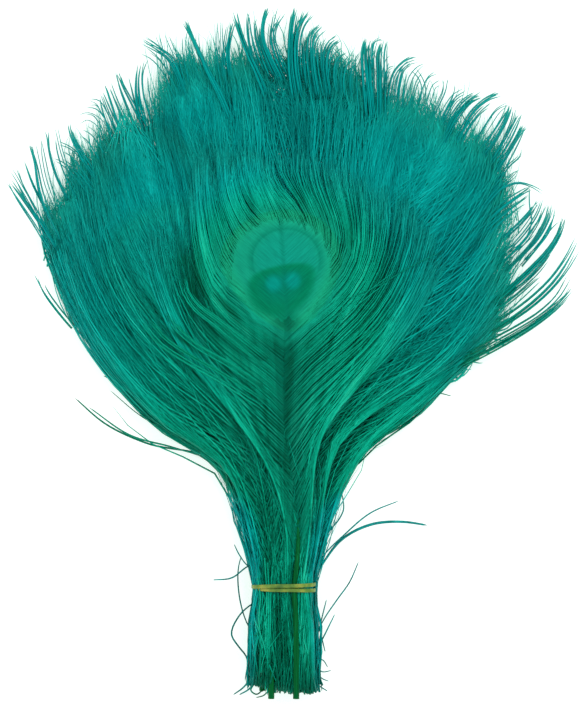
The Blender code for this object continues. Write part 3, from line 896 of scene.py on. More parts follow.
def strand_roots(feather):
    """Where strands are rooted along a shaft, their sides, and which of them are in the top row.
    Loose strands grow thickest where the feather shows."""
    pitch = PITCH if feather.has_eye else 2 * PITCH
    if feather.has_eye:
        row = np.arange(8.0, feather.eye_v - 30.0, pitch)
        row = np.concatenate([row, np.arange(feather.eye_v - 30.0, feather.shaft_end - 2.0, pitch / 2)])
    else:
        row = np.arange(8.0, feather.eye_v - 60.0, pitch)
    row_side = np.repeat((-1.0, 1.0), len(row))
    row = np.concatenate([row, row + pitch / 4])
    row = row + 0.15 * pitch * RANDOM.normal(size=len(row))
    count = feather.count - STEM_STRANDS - len(row)
    eye_v = min(feather.eye_v, feather.shaft_end - 8.0)
    knots = (3.0, 50.0, 80.0, eye_v - 40.0, eye_v, feather.shaft_end)
    share = np.cumsum(LOOSE_SHARES_WITH_EYE if feather.has_eye else LOOSE_SHARES)
    root = np.interp(RANDOM.uniform(0.0, 1.0, count), share / share[-1], knots)
    side = np.where(RANDOM.uniform(size=count) < 0.5, -1.0, 1.0)
    in_row = np.repeat((1.0, 0.0), (len(row), count))
    return np.concatenate([row, root]), np.concatenate([row_side, side]), in_row


def under_eye(feather, right, forward):
    """1 where strands lie under the vane of the eye, and 0 where they lie free of it."""
    up = forward - EYE_MIDDLE[1]
    out = (right - EYE_BOW * up**2 - EYE_MIDDLE[0]) / EYE_WIDE
    outline = np.hypot(out, up / np.where(up > 0, EYE_UP, EYE_DOWN))
    rise = RANDOM.uniform(-0.12, 0.12, (len(up), 1))
    rise = rise + 0.3 * eased(up, 4.0, -14.0)
    return (1.0 - eased(outline, 0.70 + rise, 0.88 + rise)) * feather.has_eye


def strand_sections(feather, t, v, in_row, stray, under):
    """Widths, heights and turns of strands at each ring. They thin towards their tips, are wider
    in the top row and in covered feathers, and lie flat under the vane of the eye."""
    widths = (0.5 - 0.15 * t + (0.4 - 0.2 * t) * in_row) * (1.0 - 0.8 * t**3)
    widths = widths * RANDOM.uniform(0.75, 1.25, (len(v), 1)) * (1.0 - 0.35 * stray)
    widths[-STEM_STRANDS:] *= RANDOM.uniform(0.8, 1.9, (STEM_STRANDS, 1))
    if feather.level < COVERED_LEVELS:
        widths = widths * (1.0 + 0.5 * eased(v, 90.0, 150.0) * (1.0 - t**3))
    heights = widths * (0.55 - 0.2 * eased(v, 170.0, 220.0))
    roll = RANDOM.normal(size=(len(v), 1)) * (0.5 - 0.3 * in_row)
    roll = roll * (1.0 - 0.6 * eased(v, 190.0, 230.0))
    widths = widths * (1.0 + 0.7 * under * in_row)
    return widths, heights * (1.0 + (0.35 - 1.0) * under), roll * (1.0 - under)


def make_strands(feather, materials):
    """The strands of one feather, with what its material reads: how far along its own length a
    point is, its place about the eye and along the fan's lines, and each strand's own tones, which
    include painted shade that darkens the lower strands."""
    root, side, in_row = strand_roots(feather)
    paths, lines, t, tones, stray = strand_paths(feather, root, side, in_row, STRAND_RINGS)
    stem, stem_lines, stem_tones = stem_paths(feather, STRAND_RINGS)
    paths = np.concatenate([paths, stem])
    lines = np.concatenate([lines, stem_lines])
    tones = np.concatenate([tones, stem_tones])
    stray = np.concatenate([stray, np.zeros((STEM_STRANDS, 1))])
    in_row = np.concatenate([in_row, np.zeros(STEM_STRANDS)])[:, None]
    t = np.broadcast_to(t, paths.shape[:2])
    right, forward = feather.about_eye(paths[..., 0], paths[..., 1])
    under = under_eye(feather, right, forward)
    sections = strand_sections(feather, t, lines[..., 1], in_row, stray, under)
    in_vane = feather.middle_z(feather.eye_v) + EYE_LIFT - UNDER_EYE
    paths[..., 2] += (in_vane - paths[..., 2]) * under
    made = strand_mesh(feather.node + "_barbs", paths, *sections, materials)

    per_ring = np.concatenate([np.repeat(np.arange(STRAND_RINGS - 1), len(ROOF)), [STRAND_RINGS - 1]])
    steps = np.linalg.norm(np.diff(paths, axis=1), axis=2)
    length = np.concatenate([np.zeros((len(paths), 1)), np.cumsum(steps, 1)], 1)
    place = np.stack([right, forward, np.full(right.shape, feather.eye_shows)], -1)
    # How near the fan's dense edge a point is, where the material paints light.
    edge = eased(lines[..., 1] - by_rule(TIPS, lines[..., 0]), -20.0, 2.0)
    lines = np.concatenate([lines, edge[..., None]], 2)
    # strand holds each strand's own tone together with the painted shade of its layer.
    strand = np.clip(0.5 + 0.25 * tones[:, 1], 0, 1)
    lock = np.clip(0.5 + 0.22 * tones[:, 0] + 0.16 * tones[:, 2], 0, 1)
    set_attribute(made, "along", t[:, per_ring].ravel())
    set_attribute(made, "length", length[:, per_ring].ravel())
    set_attribute(made, "line", lines[:, per_ring].reshape(-1, 3))
    set_attribute(made, "eye", place[:, per_ring].reshape(-1, 3))
    set_attribute(made, "strand", np.repeat(strand, len(per_ring)))
    set_attribute(made, "lock", np.repeat(lock, len(per_ring)))
    return made


def make_eye(feather, materials):
    """The eye's vane, where the barbs lock together: a thin closed lens of rings about the eye.

    Its rim is where the eye's outline sum is EYE_RIM, made uneven by barbs of different lengths.
    A ring s of the top is s times as far out, and falls by 1.5 * s^3 towards the rim."""
    turns, rings = EYE_TURNS, EYE_RINGS
    angle = np.linspace(0.0, 2 * np.pi, turns, endpoint=False)
    c, s = np.cos(angle), np.sin(angle)
    tall = np.where(s > 0, EYE_UP, EYE_DOWN)
    power = np.where(s > 0, 2.0, EYE_POINT)
    out = (np.abs(c / EYE_WIDE) ** power + np.abs(s / tall) ** power) ** (-1.0 / power)
    teeth = np.random.default_rng(5).normal(size=turns)
    out = out * EYE_RIM * (1.0 + 0.02 * teeth * (0.4 + 0.6 * np.abs(s)))
    step = np.linspace(0.0, 1.0, rings)[1:, None] ** 0.8
    forward = EYE_MIDDLE[1] + step * out * s
    right = EYE_MIDDLE[0] + step * out * c + EYE_BOW * (forward - EYE_MIDDLE[1]) ** 2
    x, y = feather.from_eye(right, forward)
    crease = 0.25 * np.exp(-(((right + EYE_LEAN * forward) / 1.2) ** 2))
    base = feather.middle_z(feather.eye_v) + EYE_LIFT
    top = base - 1.5 * step**3 * np.ones_like(out) - crease
    bottom = np.minimum(base - EYE_THICKNESS - 1.2 * step**8, top - 0.15)
    upper = np.stack([x, y, top], 2).reshape(-1, 3)
    lower = np.stack([x, y, bottom], 2).reshape(-1, 3)
    hub = feather.from_eye(*EYE_MIDDLE)
    hubs = np.array([(*hub, base), (*hub, base - EYE_THICKNESS)])
    points = np.concatenate([upper, lower, hubs])
    j = np.arange(turns)
    k = (j + 1) % turns
    ring = np.arange(rings - 2)[:, None] * turns
    above = np.stack([ring + j, ring + turns + j, ring + turns + k, ring + k], -1).reshape(-1, 4)
    half = (rings - 1) * turns
    below = above[:, ::-1] + half
    edge = half - turns
    rim = np.stack([edge + j, edge + half + j, edge + half + k, edge + k], -1)
    hub = 2 * half
    caps = np.stack([np.full(turns, hub), j, k], -1)
    floor_caps = np.stack([np.full(turns, hub + 1), k + half, j + half], -1)
    made = new_mesh(feather.node + "_eye", points, [above, below, rim, caps, floor_caps], materials)
    one_face = np.stack([right, forward], 2).reshape(-1, 2)
    both = np.concatenate([one_face, one_face, [EYE_MIDDLE, EYE_MIDDLE]])
    set_attribute(made, "eye", np.column_stack([both, np.full(len(both), feather.eye_shows)]))
    set_attribute(made, "line", np.zeros((len(both), 3)))
    for name, value in (("strand", 0.6), ("lock", 0.5), ("along", 0.5)):
        set_attribute(made, name, np.full(len(both), value))
    set_attribute(made, "length", np.zeros(len(both)))
    return made


def make_shaft(feather, materials):
    """A feather's shaft: a round tube along its line, thinning from the cut quill to the eye. A
    point of it is the line's point plus radius * (cos a * across + sin a * up)."""
    # The two front quills stick out of the strands' ragged ends, and the others are cut shorter.
    front = len(FEATHERS) - 1
    cut = 1.7 if feather.level >= front - 1 else 5.0 + 0.7 * math.sin(4.0 * feather.level)
    v = np.concatenate([[cut], np.linspace(cut + 0.2, feather.shaft_end, 50)])
    x, y = FAN.place(feather.shaft_u(v), v)
    radius = 1.3 - 0.75 * eased(v, 20.0, 110.0) - 0.4 * eased(v, 110.0, feather.shaft_end)
    # Only the front quill lies clear of the strands, and the next one's cut end.
    lift = 1.9 if feather.level == front else -0.5
    if feather.level == front - 1:
        lift = lift + 2.0 * (1.0 - eased(v, 8.0, 18.0))
    z = feather.middle_z(v) + lift - (lift + 0.7) * eased(v, 50.0, 90.0)
    z = np.maximum(z, radius + 0.05)  # clear of the table
    path = np.stack([x, y, z], 1)[None]
    across, up = section_frames(path, np.zeros((1, 1)))
    turn = np.linspace(0, 2 * np.pi, 10, endpoint=False)
    c, s = np.cos(turn)[None, :, None], np.sin(turn)[None, :, None]
    ring = across[0][:, None] * c + up[0][:, None] * s
    points = path[0][:, None] + ring * radius[:, None, None]
    rings, sides = len(v), len(turn)
    ends = np.stack([path[0][0] + (0, 0.35, 0), path[0][-1] + (0, 0.3, 0)])
    points = np.concatenate([points.reshape(-1, 3), ends])
    i = np.arange(rings - 1)[:, None] * sides
    j = np.arange(sides)[None, :]
    k = (j + 1) % sides
    quads = np.stack([i + j, i + sides + j, i + sides + k, i + k], -1).reshape(-1, 4)
    j, k = j[0], k[0]
    start = np.stack([j, k, np.full(sides, rings * sides)], -1)
    stop = (rings - 1) * sides + np.stack([k, j], -1)
    stop = np.hstack([stop, np.full((sides, 1), rings * sides + 1)])
    made = new_mesh(feather.node + "_shaft", points, [quads, start, stop], materials)
    made.data.polygons.foreach_set("material_index", np.repeat((0, 1, 0), (len(quads), sides, sides)))
    return made


# ---------------------------------------------------------------- separate barbs

# Barbs that have come loose, as smooth curves through places beside the band's axis and above
# the cut ends, each with its thickness and its height over the table at both ends.
STRAYS = (
    (0.7, 7.0, 2.0, ((-22, 96), (-31, 101), (-58, 107), (-75, 115), (-88, 126))),
    (0.6, 8.0, 3.0, ((-20, 92), (-29, 99), (-46, 105), (-64, 110), (-82, 122))),
    (0.35, 9.0, 4.0, ((-26, 103), (-36, 108), (-58, 117), (-73, 129))),
    (0.9, 5.0, 2.0, ((-35, 108), (-52, 121), (-62, 130), (-76, 135))),
    (0.8, 5.0, 2.0, ((-35, 106), (-50, 118), (-60, 127), (-74, 134))),
    (0.45, 6.0, 3.0, ((40, 118), (52, 125), (62, 128), (70, 126.5))),
    (0.55, 11.0, 6.0, ((11, 52), (16, 60), (25, 69), (36, 78), (48, 83))),
    (1.0, 10.0, 4.0, ((12, 50), (16, 57), (24, 67), (36, 73), (50, 74), (60, 72.5))),
    (0.5, 10.0, 7.0, ((14, 60), (17, 68), (20, 72), (22.5, 75), (24.5, 79), (24, 86))),
    (0.45, 12.0, 8.0, ((-13, 54), (-17, 58), (-19, 61), (-21, 65))),
    (0.55, 12.0, 8.0, ((-9, 58), (-15, 56), (-22, 51), (-30, 50))),
    (0.5, 8.0, 8.0, ((-11, 24), (-16, 33), (-19, 45), (-19, 56), (-18, 60))),
    (0.6, 13.0, 3.0, ((-4, 46), (-11, 42), (-19, 35), (-22, 27), (-19, 22), (-16, 18), (-16.5, 7))),
    (0.5, 9.0, 8.0, ((12, 24), (16, 33), (22, 42), (27, 49), (31, 58))),
    (0.5, 12.0, 9.0, ((10, 12), (13, 20), (17, 28), (21, 36))),
    (0.45, 10.0, 8.0, ((13, 24), (15, 32), (17.5, 42))),
    (0.45, 12.0, 9.0, ((12, 38), (14.5, 30), (17, 20))),
    (0.6, 8.0, 2.0, ((-9, 16), (-13, 11), (-17, 5), (-21.5, 1.5))),
    (0.6, 9.0, 2.0, ((-7, 14), (-11, 9), (-15, 4), (-19, 1.5))),
    (0.55, 10.0, 6.0, ((-5, 12), (-8, 6), (-12, 2.5), (-14, 4), (-12, 7), (-8, 7.5), (-5, 4))),
    (0.5, 12.0, 9.0, ((-2, 14), (-5, 7), (-9, 2), (-12, 1.2))),
    (0.5, 9.0, 6.0, ((9, 12), (12, 8), (15, 5.5), (18, 3.5))),
    (0.4, 12.0, 9.0, ((8, 16), (12, 15), (16, 12), (19.5, 12.5))),
    (0.4, 11.0, 9.0, ((9, 12), (13, 11.5), (16, 9), (18.5, 8))),
    (0.4, 12.0, 11.0, ((10, 20), (13, 18), (16, 17), (18, 14))),
    (0.4, 18.0, 18.0, ((2, 22), (0, 18), (-4, 16), (-8, 18))),
    (0.45, 18.5, 18.0, ((-3, 40), (-7, 36), (-10, 30), (-13, 27))),
    (0.4, 18.5, 17.5, ((9, 34), (6, 28), (7, 20), (11, 15))),
    (0.4, 17.0, 15.0, ((24, 166), (38, 172), (52, 180), (66, 187))),
)

# Pale barbs that lie on the stems, in the same way.
STREAKS = (
    (0.9, 18.6, 17.5, ((-6.9, 58), (-6.4, 44), (-6.7, 30), (-6.9, 15), (-7.0, 3))),
    (0.7, 18.6, 17.3, ((-8.2, 60), (-7.2, 44), (-7.6, 30), (-7.6, 16), (-7.8, 4))),
    (0.7, 18.8, 17.5, ((-5.0, 56), (-5.6, 44), (-5.9, 30), (-6.3, 16), (-6.2, 4.5))),
    (0.6, 18.5, 17.5, ((-11, 52), (-10, 44), (-10.5, 34), (-9.0, 22), (-9.6, 8))),
    (0.6, 18.6, 17.5, ((7, 56), (7.2, 44), (7.0, 34), (5.9, 24), (6.4, 10))),
    (0.6, 18.3, 17.5, ((10, 52), (9.6, 44), (10.4, 34), (9.4, 22), (10.5, 8))),
    (0.5, 18.6, 17.8, ((-1, 30), (-4, 26), (-8, 20), (-10, 12))),
    (0.5, 18.6, 17.8, ((-12, 34), (-9, 26), (-7, 18), (-3, 8))),
    (0.5, 18.6, 17.8, ((9, 36), (8, 27), (10, 18), (7, 9))),
)


# Barbs that stand out of the fan's edge in sprays, from the left edge round to the right: how
# many, how thick, how far they are spread at their tips and further in, and the places that
# their middle runs through from the tips inwards.
SPRAYS = (
    (3, 0.5, 0.8, 0.8, ((-103.8, 178), (-100, 170.5), (-94.5, 163), (-88, 155))),
    (5, 0.6, 2.0, 2.5, ((-116, 216), (-110, 208), (-103, 198), (-96, 186))),
    (4, 0.5, 1.5, 2.0, ((-113.5, 222), (-108, 212), (-101, 200), (-95, 188))),
    (3, 0.45, 2.0, 2.0, ((-110, 226), (-106, 215), (-100, 203), (-94, 190))),
    (7, 0.5, 0.5, 1.8, ((-105.5, 232), (-103, 222), (-101, 212), (-97, 200))),
    (3, 0.3, 1.5, 1.5, ((-102.5, 234), (-100.5, 224), (-98, 214), (-94, 204))),
    (3, 0.7, 0.3, 0.5, ((-98.8, 238), (-97.5, 228), (-95, 219), (-90, 208))),
    (3, 0.5, 1.2, 1.2, ((-97, 226), (-93, 224), (-87, 219), (-80, 210))),
    (3, 0.45, 1.0, 1.0, ((-95.5, 239), (-93.5, 229), (-90, 219), (-85, 209))),
    (3, 0.5, 1.5, 1.5, ((-95, 231), (-90, 229), (-84, 223), (-78, 214))),
    (3, 0.6, 0.4, 0.8, ((-90.7, 240.5), (-88, 234), (-84, 227), (-79, 218))),
    (2, 0.35, 1.0, 1.2, ((-86.5, 242.5), (-82, 243), (-77, 240), (-73, 233))),
    (3, 0.4, 1.5, 1.5, ((-84, 238), (-81, 236), (-77, 231), (-73, 224))),
    (2, 0.35, 1.0, 1.0, ((-83, 246), (-79, 245), (-75.5, 241), (-72, 233))),
    (3, 0.35, 1.2, 1.0, ((-82, 249.5), (-78, 248.5), (-75, 244), (-71, 236))),
    (4, 0.5, 0.8, 1.6, ((-76.5, 253.5), (-75, 248), (-72, 240), (-68, 230))),
    (7, 0.5, 0.7, 2.0, ((-74, 257), (-71.5, 250), (-68, 241), (-63, 231))),
    (8, 0.5, 0.5, 2.5, ((-70, 262.5), (-68, 256), (-64, 247), (-59, 236))),
    (3, 0.4, 0.8, 1.0, ((-65, 259.5), (-63.5, 254), (-61.5, 246), (-58, 236))),
    (3, 0.5, 0.5, 1.0, ((-61, 266), (-61.3, 259), (-61, 250), (-58, 238))),
    (4, 0.5, 1.2, 1.5, ((-58, 267), (-59, 262), (-58.5, 252), (-55, 240))),
    (3, 0.4, 1.2, 1.0, ((-60, 271), (-55, 268), (-50.5, 263), (-46, 254), (-43, 246))),
    (4, 0.5, 1.2, 1.2, ((-60.5, 274), (-54, 271), (-48, 267), (-44, 260), (-41, 250))),
    (3, 0.45, 0.8, 1.0, ((-58.5, 277.3), (-52.5, 272.5), (-47, 267), (-43, 258), (-40, 248))),
    (2, 0.35, 0.8, 0.8, ((-53, 278), (-51.5, 273), (-50, 267), (-47, 258))),
    (2, 0.35, 0.8, 0.8, ((-50.5, 280), (-48, 274), (-45, 267), (-42, 258))),
    (3, 0.45, 0.6, 0.8, ((-47, 271.5), (-44, 268), (-42, 263), (-40, 254))),
    (3, 0.35, 0.8, 1.0, ((-41, 280), (-41.2, 273), (-40, 265), (-37, 256))),
    (3, 0.35, 0.8, 1.0, ((-38, 278.5), (-37, 272), (-35.5, 265), (-33, 256))),
    (12, 0.6, 0.3, 0.9, ((-42, 284), (-37, 273), (-31.5, 261), (-26, 250), (-22, 240))),
    (3, 0.3, 1.0, 1.0, ((-28.3, 283.5), (-28, 275), (-27.5, 266), (-26, 256))),
    (2, 0.3, 0.6, 1.0, ((-26.8, 284), (-26.5, 276), (-26, 267), (-25, 257))),
    (5, 0.45, 1.2, 1.5, ((-25.5, 276), (-27, 270), (-27, 262), (-25, 252))),
    (3, 0.35, 0.6, 0.8, ((-23.5, 282.5), (-24, 276), (-24.5, 269), (-24, 258))),
    (5, 0.5, 0.6, 1.0, ((-21.3, 283), (-22.5, 277), (-23.5, 270), (-22.5, 258))),
    (6, 0.55, 0.5, 1.2, ((-21, 288), (-18.7, 279), (-15.5, 270), (-11, 260), (-7, 250))),
    (3, 0.45, 0.7, 0.8, ((-16, 287), (-15.5, 281), (-14.5, 273), (-12, 262))),
    (5, 0.45, 1.2, 1.2, ((-14, 285), (-13.8, 279), (-12, 271), (-8, 261))),
    (4, 0.5, 0.6, 1.0, ((-12, 283), (-11.5, 277), (-9.5, 269), (-5.5, 259))),
    (9, 0.55, 0.4, 1.6, ((-7, 289), (-9, 282), (-9, 274), (-6, 266), (-1.5, 257))),
    (3, 0.4, 0.8, 0.8, ((-6, 285), (-6.5, 279), (-6.3, 272), (-3.5, 264), (0, 256))),
    (3, 0.45, 0.4, 0.6, ((-3, 289), (-4.5, 283), (-5, 276), (-3.5, 269), (0, 261))),
    (4, 0.5, 0.4, 0.8, ((0, 287), (-3, 282.5), (-5, 276), (-3.5, 269), (1, 259))),
    (12, 0.6, 1.3, 1.8, ((5, 289), (3.6, 281), (3, 272), (3.2, 262), (5, 250))),
    (8, 0.6, 1.0, 1.5, ((10, 287), (6.5, 281), (4.8, 274), (4.8, 264), (6.5, 252))),
    (3, 0.4, 0.8, 0.8, ((12, 286.5), (8, 281), (6, 274), (6, 265))),
    (3, 0.4, 0.6, 0.8, ((8.5, 278.5), (7.5, 274), (7.5, 267), (8.5, 258))),
    (4, 0.5, 0.8, 1.2, ((10, 277), (8.3, 272), (8.5, 264), (10, 254))),
    (8, 0.55, 1.3, 1.6, ((15.5, 282), (11.3, 277), (10.5, 270), (11, 262), (13, 250))),
    (4, 0.5, 0.8, 1.2, ((17.5, 280), (13.5, 276), (12, 270), (12.5, 261), (14.5, 250))),
    (3, 0.4, 0.8, 1.0, ((18, 276), (15.5, 272), (15, 266), (16, 256))),
    (4, 0.45, 0.8, 1.0, ((22.8, 277), (18.3, 273.5), (16.5, 269), (16.5, 260), (18, 250))),
    (4, 0.45, 0.6, 1.0, ((24, 275), (20, 272), (18, 266), (18.5, 256))),
    (5, 0.45, 1.4, 1.2, ((25.5, 270.5), (22, 267), (20.5, 261), (21.5, 252))),
    (4, 0.4, 1.2, 1.0, ((28.5, 269), (25.5, 265), (24, 259), (24.5, 250))),
    (3, 0.4, 0.8, 0.8, ((30.5, 270.5), (28.5, 265), (27.5, 258), (28, 249))),
    (14, 0.6, 1.6, 2.2, ((34.5, 276), (33, 270), (33, 262), (34, 250), (35, 240))),
    (3, 0.4, 0.6, 0.6, ((41, 276.3), (37.5, 274), (36.5, 270), (36.5, 262))),
    (14, 0.6, 2.0, 2.2, ((40.5, 274.5), (38.5, 269), (38.5, 261), (38.5, 250), (38.5, 240))),
    (4, 0.5, 0.8, 0.8, ((43, 275.5), (42, 270), (41.8, 262), (41.5, 252))),
    (2, 0.35, 0.5, 0.6, ((45.5, 267.3), (43.5, 266.5), (42, 263), (41, 256))),
    (3, 0.35, 1.0, 0.8, ((46, 264.5), (43.5, 263), (41.8, 259), (41.3, 252))),
    (5, 0.5, 1.2, 1.2, ((55.5, 268.5), (50, 265.5), (46, 261), (44, 254), (43, 245))),
    (4, 0.45, 1.0, 1.2, ((53, 266), (49.5, 262.5), (47.5, 256), (46.5, 247))),
    (3, 0.4, 0.8, 1.0, ((51.5, 262), (50, 258), (49, 252), (48, 244))),
    (2, 0.35, 0.5, 0.8, ((60.5, 266.3), (56, 263.5), (52.5, 259), (50.5, 251))),
    (3, 0.4, 1.2, 1.0, ((58, 262), (55, 258), (53, 252), (51, 243))),
    (3, 0.4, 0.5, 1.0, ((64, 261.8), (60, 259), (57.5, 254), (55, 245))),
    (2, 0.35, 0.5, 0.8, ((53, 263.5), (56.5, 259), (58, 254), (57, 247))),
    (4, 0.4, 1.0, 1.0, ((67, 259.5), (66.5, 254), (64, 248), (60, 240))),
    (3, 0.4, 0.8, 1.0, ((66, 258), (62.5, 256), (60, 250), (57, 242))),
    (3, 0.35, 0.8, 0.8, ((72, 256.5), (70.5, 252), (67.5, 246), (63, 238))),
    (4, 0.45, 0.8, 1.0, ((76.5, 253.3), (71.5, 250.5), (68, 245.5), (64, 237))),
    (5, 0.5, 1.2, 1.2, ((80, 253), (74.5, 248.5), (70.5, 243), (66, 235))),
    (7, 0.5, 1.2, 1.5, ((83, 252.5), (77, 249.5), (72.5, 244.5), (68, 237), (64, 229))),
    (4, 0.45, 1.0, 1.0, ((86, 249), (81, 244.5), (76.5, 238.5), (72, 230))),
    (6, 0.5, 1.0, 1.2, ((90.5, 252.5), (84, 249.5), (78.5, 244.5), (74, 237), (70, 229))),
    (3, 0.4, 0.8, 0.8, ((93.5, 249), (88.5, 245.5), (84.5, 240), (79, 231))),
    (10, 0.55, 1.1, 2.2, ((94.7, 248), (92, 242), (88, 235), (82, 226))),
    (6, 0.5, 1.2, 1.5, ((98, 245), (95, 238.5), (91, 231), (85, 222))),
    (7, 0.55, 0.7, 1.5, ((99.8, 240), (97, 234.5), (93, 227.5), (87, 218))),
    (3, 0.5, 0.3, 0.5, ((100, 230.5), (98, 226.3), (94, 223), (89.5, 217.5), (84, 210))),
    (3, 0.4, 1.0, 1.0, ((98.5, 221), (95, 218), (90, 213.5), (84, 206))),
    (4, 0.5, 0.8, 1.0, ((96, 219), (92, 215.5), (87, 210.5), (81, 203))),
    (3, 0.45, 0.3, 0.4, ((109, 212), (103, 214.3), (97, 215.3), (91.5, 213.5), (86, 209), (80, 201))),
    (6, 0.55, 1.4, 1.5, ((102.5, 214), (97, 210.5), (90, 205.5), (83, 199))),
    (5, 0.5, 1.0, 1.2, ((103, 210), (97, 206), (90, 200.5), (82, 193))),
    (2, 0.45, 0.3, 0.4, ((102, 214), (101.8, 206), (102.5, 199), (100, 192), (95, 186))),
    (5, 0.45, 0.8, 1.0, ((105.8, 208.5), (102.5, 203.5), (98, 198.5), (90, 191))),
    (3, 0.4, 1.0, 1.0, ((104, 196.5), (100, 192), (93, 186.5), (85, 181))),
    (6, 0.5, 1.3, 1.5, ((108, 209.5), (105.5, 203), (101, 196), (94, 188), (86, 180))),
    (6, 0.5, 1.2, 1.5, ((110.5, 207.5), (108, 200.5), (103, 192), (96, 184), (88, 176))),
    (4, 0.45, 0.7, 1.0, ((113, 206.5), (110.5, 200), (106, 192), (99, 184))),
    (3, 0.4, 0.7, 0.8, ((113, 200.5), (109.5, 195), (104.5, 189), (98, 181))),
    (10, 0.6, 0.8, 1.8, ((116.5, 201.5), (114.3, 195), (109.5, 187.5), (103, 180.5), (95, 173), (86, 165))),
    (4, 0.5, 0.7, 1.0, ((111, 186), (106.5, 180), (100, 173.5), (92, 167))),
    (5, 0.5, 0.8, 1.2, ((106.5, 177), (100.5, 171.5), (94, 166), (86, 160))),
    (5, 0.55, 1.2, 1.6, ((122, 193.5), (117.7, 184.5), (111.5, 175.5), (104, 168), (95, 161), (84, 154))),
    (2, 0.45, 0.3, 0.4, ((123.3, 189.5), (118.5, 180.5), (112, 172), (104, 164.5), (95, 158), (84, 151))),
    (5, 0.5, 1.2, 1.4, ((119, 177), (114, 168.5), (106.5, 161.5), (97, 155.5), (86, 149.5), (75, 143))),
    (7, 0.55, 1.0, 1.6, ((120.3, 172), (113.5, 164.5), (105, 157.8), (95, 151.5), (84, 145.5), (72, 139.5))),
)

# Heights over the table of the roots and the tops of sprays and locks, and how far their tips drop.
SPRAY_HEIGHTS = (9.0, 12.5, 4.0)
LOCK_HEIGHTS = (15.0, 19.0, 1.5)

# Locks that lie across the front feather on both sides below its eye, in the same way as sprays.
LOCKS = (
    (9, 0.6, 1.2, 2.2, ((-42.5, 178), (-40.5, 170), (-36.5, 164), (-29, 158), (-19, 150), (-8, 141))),
    (5, 0.5, 0.8, 1.2, ((-32, 171), (-31, 165), (-28, 158), (-22, 151), (-12, 143))),
    (5, 0.5, 1.0, 1.2, ((-50, 163), (-44, 155), (-36, 148), (-24, 141), (-9, 131))),
    (6, 0.5, 1.5, 1.6, ((-58, 160), (-50, 150), (-40, 143), (-26, 135), (-9, 124))),
    (4, 0.5, 0.8, 1.2, ((26, 168), (24, 161), (19, 153), (11, 145), (3, 138))),
    (2, 0.35, 0.8, 1.0, ((55, 184), (45, 177), (33, 168), (19, 157), (8, 147))),
    (3, 0.5, 1.2, 1.0, ((44, 160), (36, 154), (26, 146), (14, 136), (5, 127))),
)


def smooth_curve(places, rings):
    """A curve through places: cubic pieces whose slope at each place is the mean of the runs
    on its two sides, read at even steps."""
    places = np.array(places, float)
    knots = np.concatenate([[0.0], np.cumsum(np.linalg.norm(np.diff(places, axis=0), axis=1))])
    slope = np.gradient(places, knots, axis=0)
    at = np.linspace(0.0, knots[-1], rings)
    i = np.clip(np.searchsorted(knots, at) - 1, 0, len(knots) - 2)
    run = (knots[i + 1] - knots[i])[:, None]
    t = ((at - knots[i])[:, None] / run).clip(0.0, 1.0)
    start = (2 * t**3 - 3 * t**2 + 1) * places[i] + (t**3 - 2 * t**2 + t) * run * slope[i]
    return start + (3 * t**2 - 2 * t**3) * places[i + 1] + (t**3 - t**2) * run * slope[i + 1]


def loose_barbs(name, paths, widths, blue, tones, materials):
    """Separate barbs along given paths. blue is how far their end takes the tips' paler tone, which is
    painted light, and tones are the darkest and lightest of them."""
    count, rings, _ = paths.shape
    made = strand_mesh(name, paths, widths, widths * 0.6, np.zeros((count, rings)), materials)
    per_ring = np.concatenate([np.repeat(np.arange(rings - 1), len(ROOF)), [rings - 1]])
    points = count * len(per_ring)
    t = np.linspace(0.0, 1.0, rings)[per_ring]
    strand = np.random.default_rng(8).uniform(*tones, count)
    set_attribute(made, "along", np.tile(0.3 + 0.7 * blue * t, count))
    set_attribute(made, "length", np.tile(60.0 * t, count))
    set_attribute(made, "strand", np.repeat(strand, len(per_ring)))
    set_attribute(made, "lock", np.full(points, 0.4 + 2.0 * max(0.0, tones[0] - 0.2)))
    set_attribute(made, "eye", np.tile((NO_EYE, NO_EYE, 0.0), (points, 1)))
    set_attribute(made, "line", np.tile((0.37, 40.0, 0.0), (points, 1)))
    return made


STRAY_RINGS, SPRAY_RINGS = 28, 14
SPRAY_STEPS = 60  # along the middle of a spray


def make_strays(name, strays, tones, materials):
    """Loose barbs along curves of their own."""
    rings = STRAY_RINGS
    t = np.linspace(0.0, 1.0, rings)
    flat = np.stack([smooth_curve(places, rings) for *_, places in strays])
    thick, start_z, end_z = np.array([stray[:3] for stray in strays], float).T[..., None]
    z = start_z + (end_z - start_z) * t
    paths = np.concatenate([flat, z[..., None]], 2)
    widths = 1.35 * thick * (0.55 + 0.9 * t - 0.9 * t**3)
    return loose_barbs(name, paths, widths, 0.4, tones, materials)


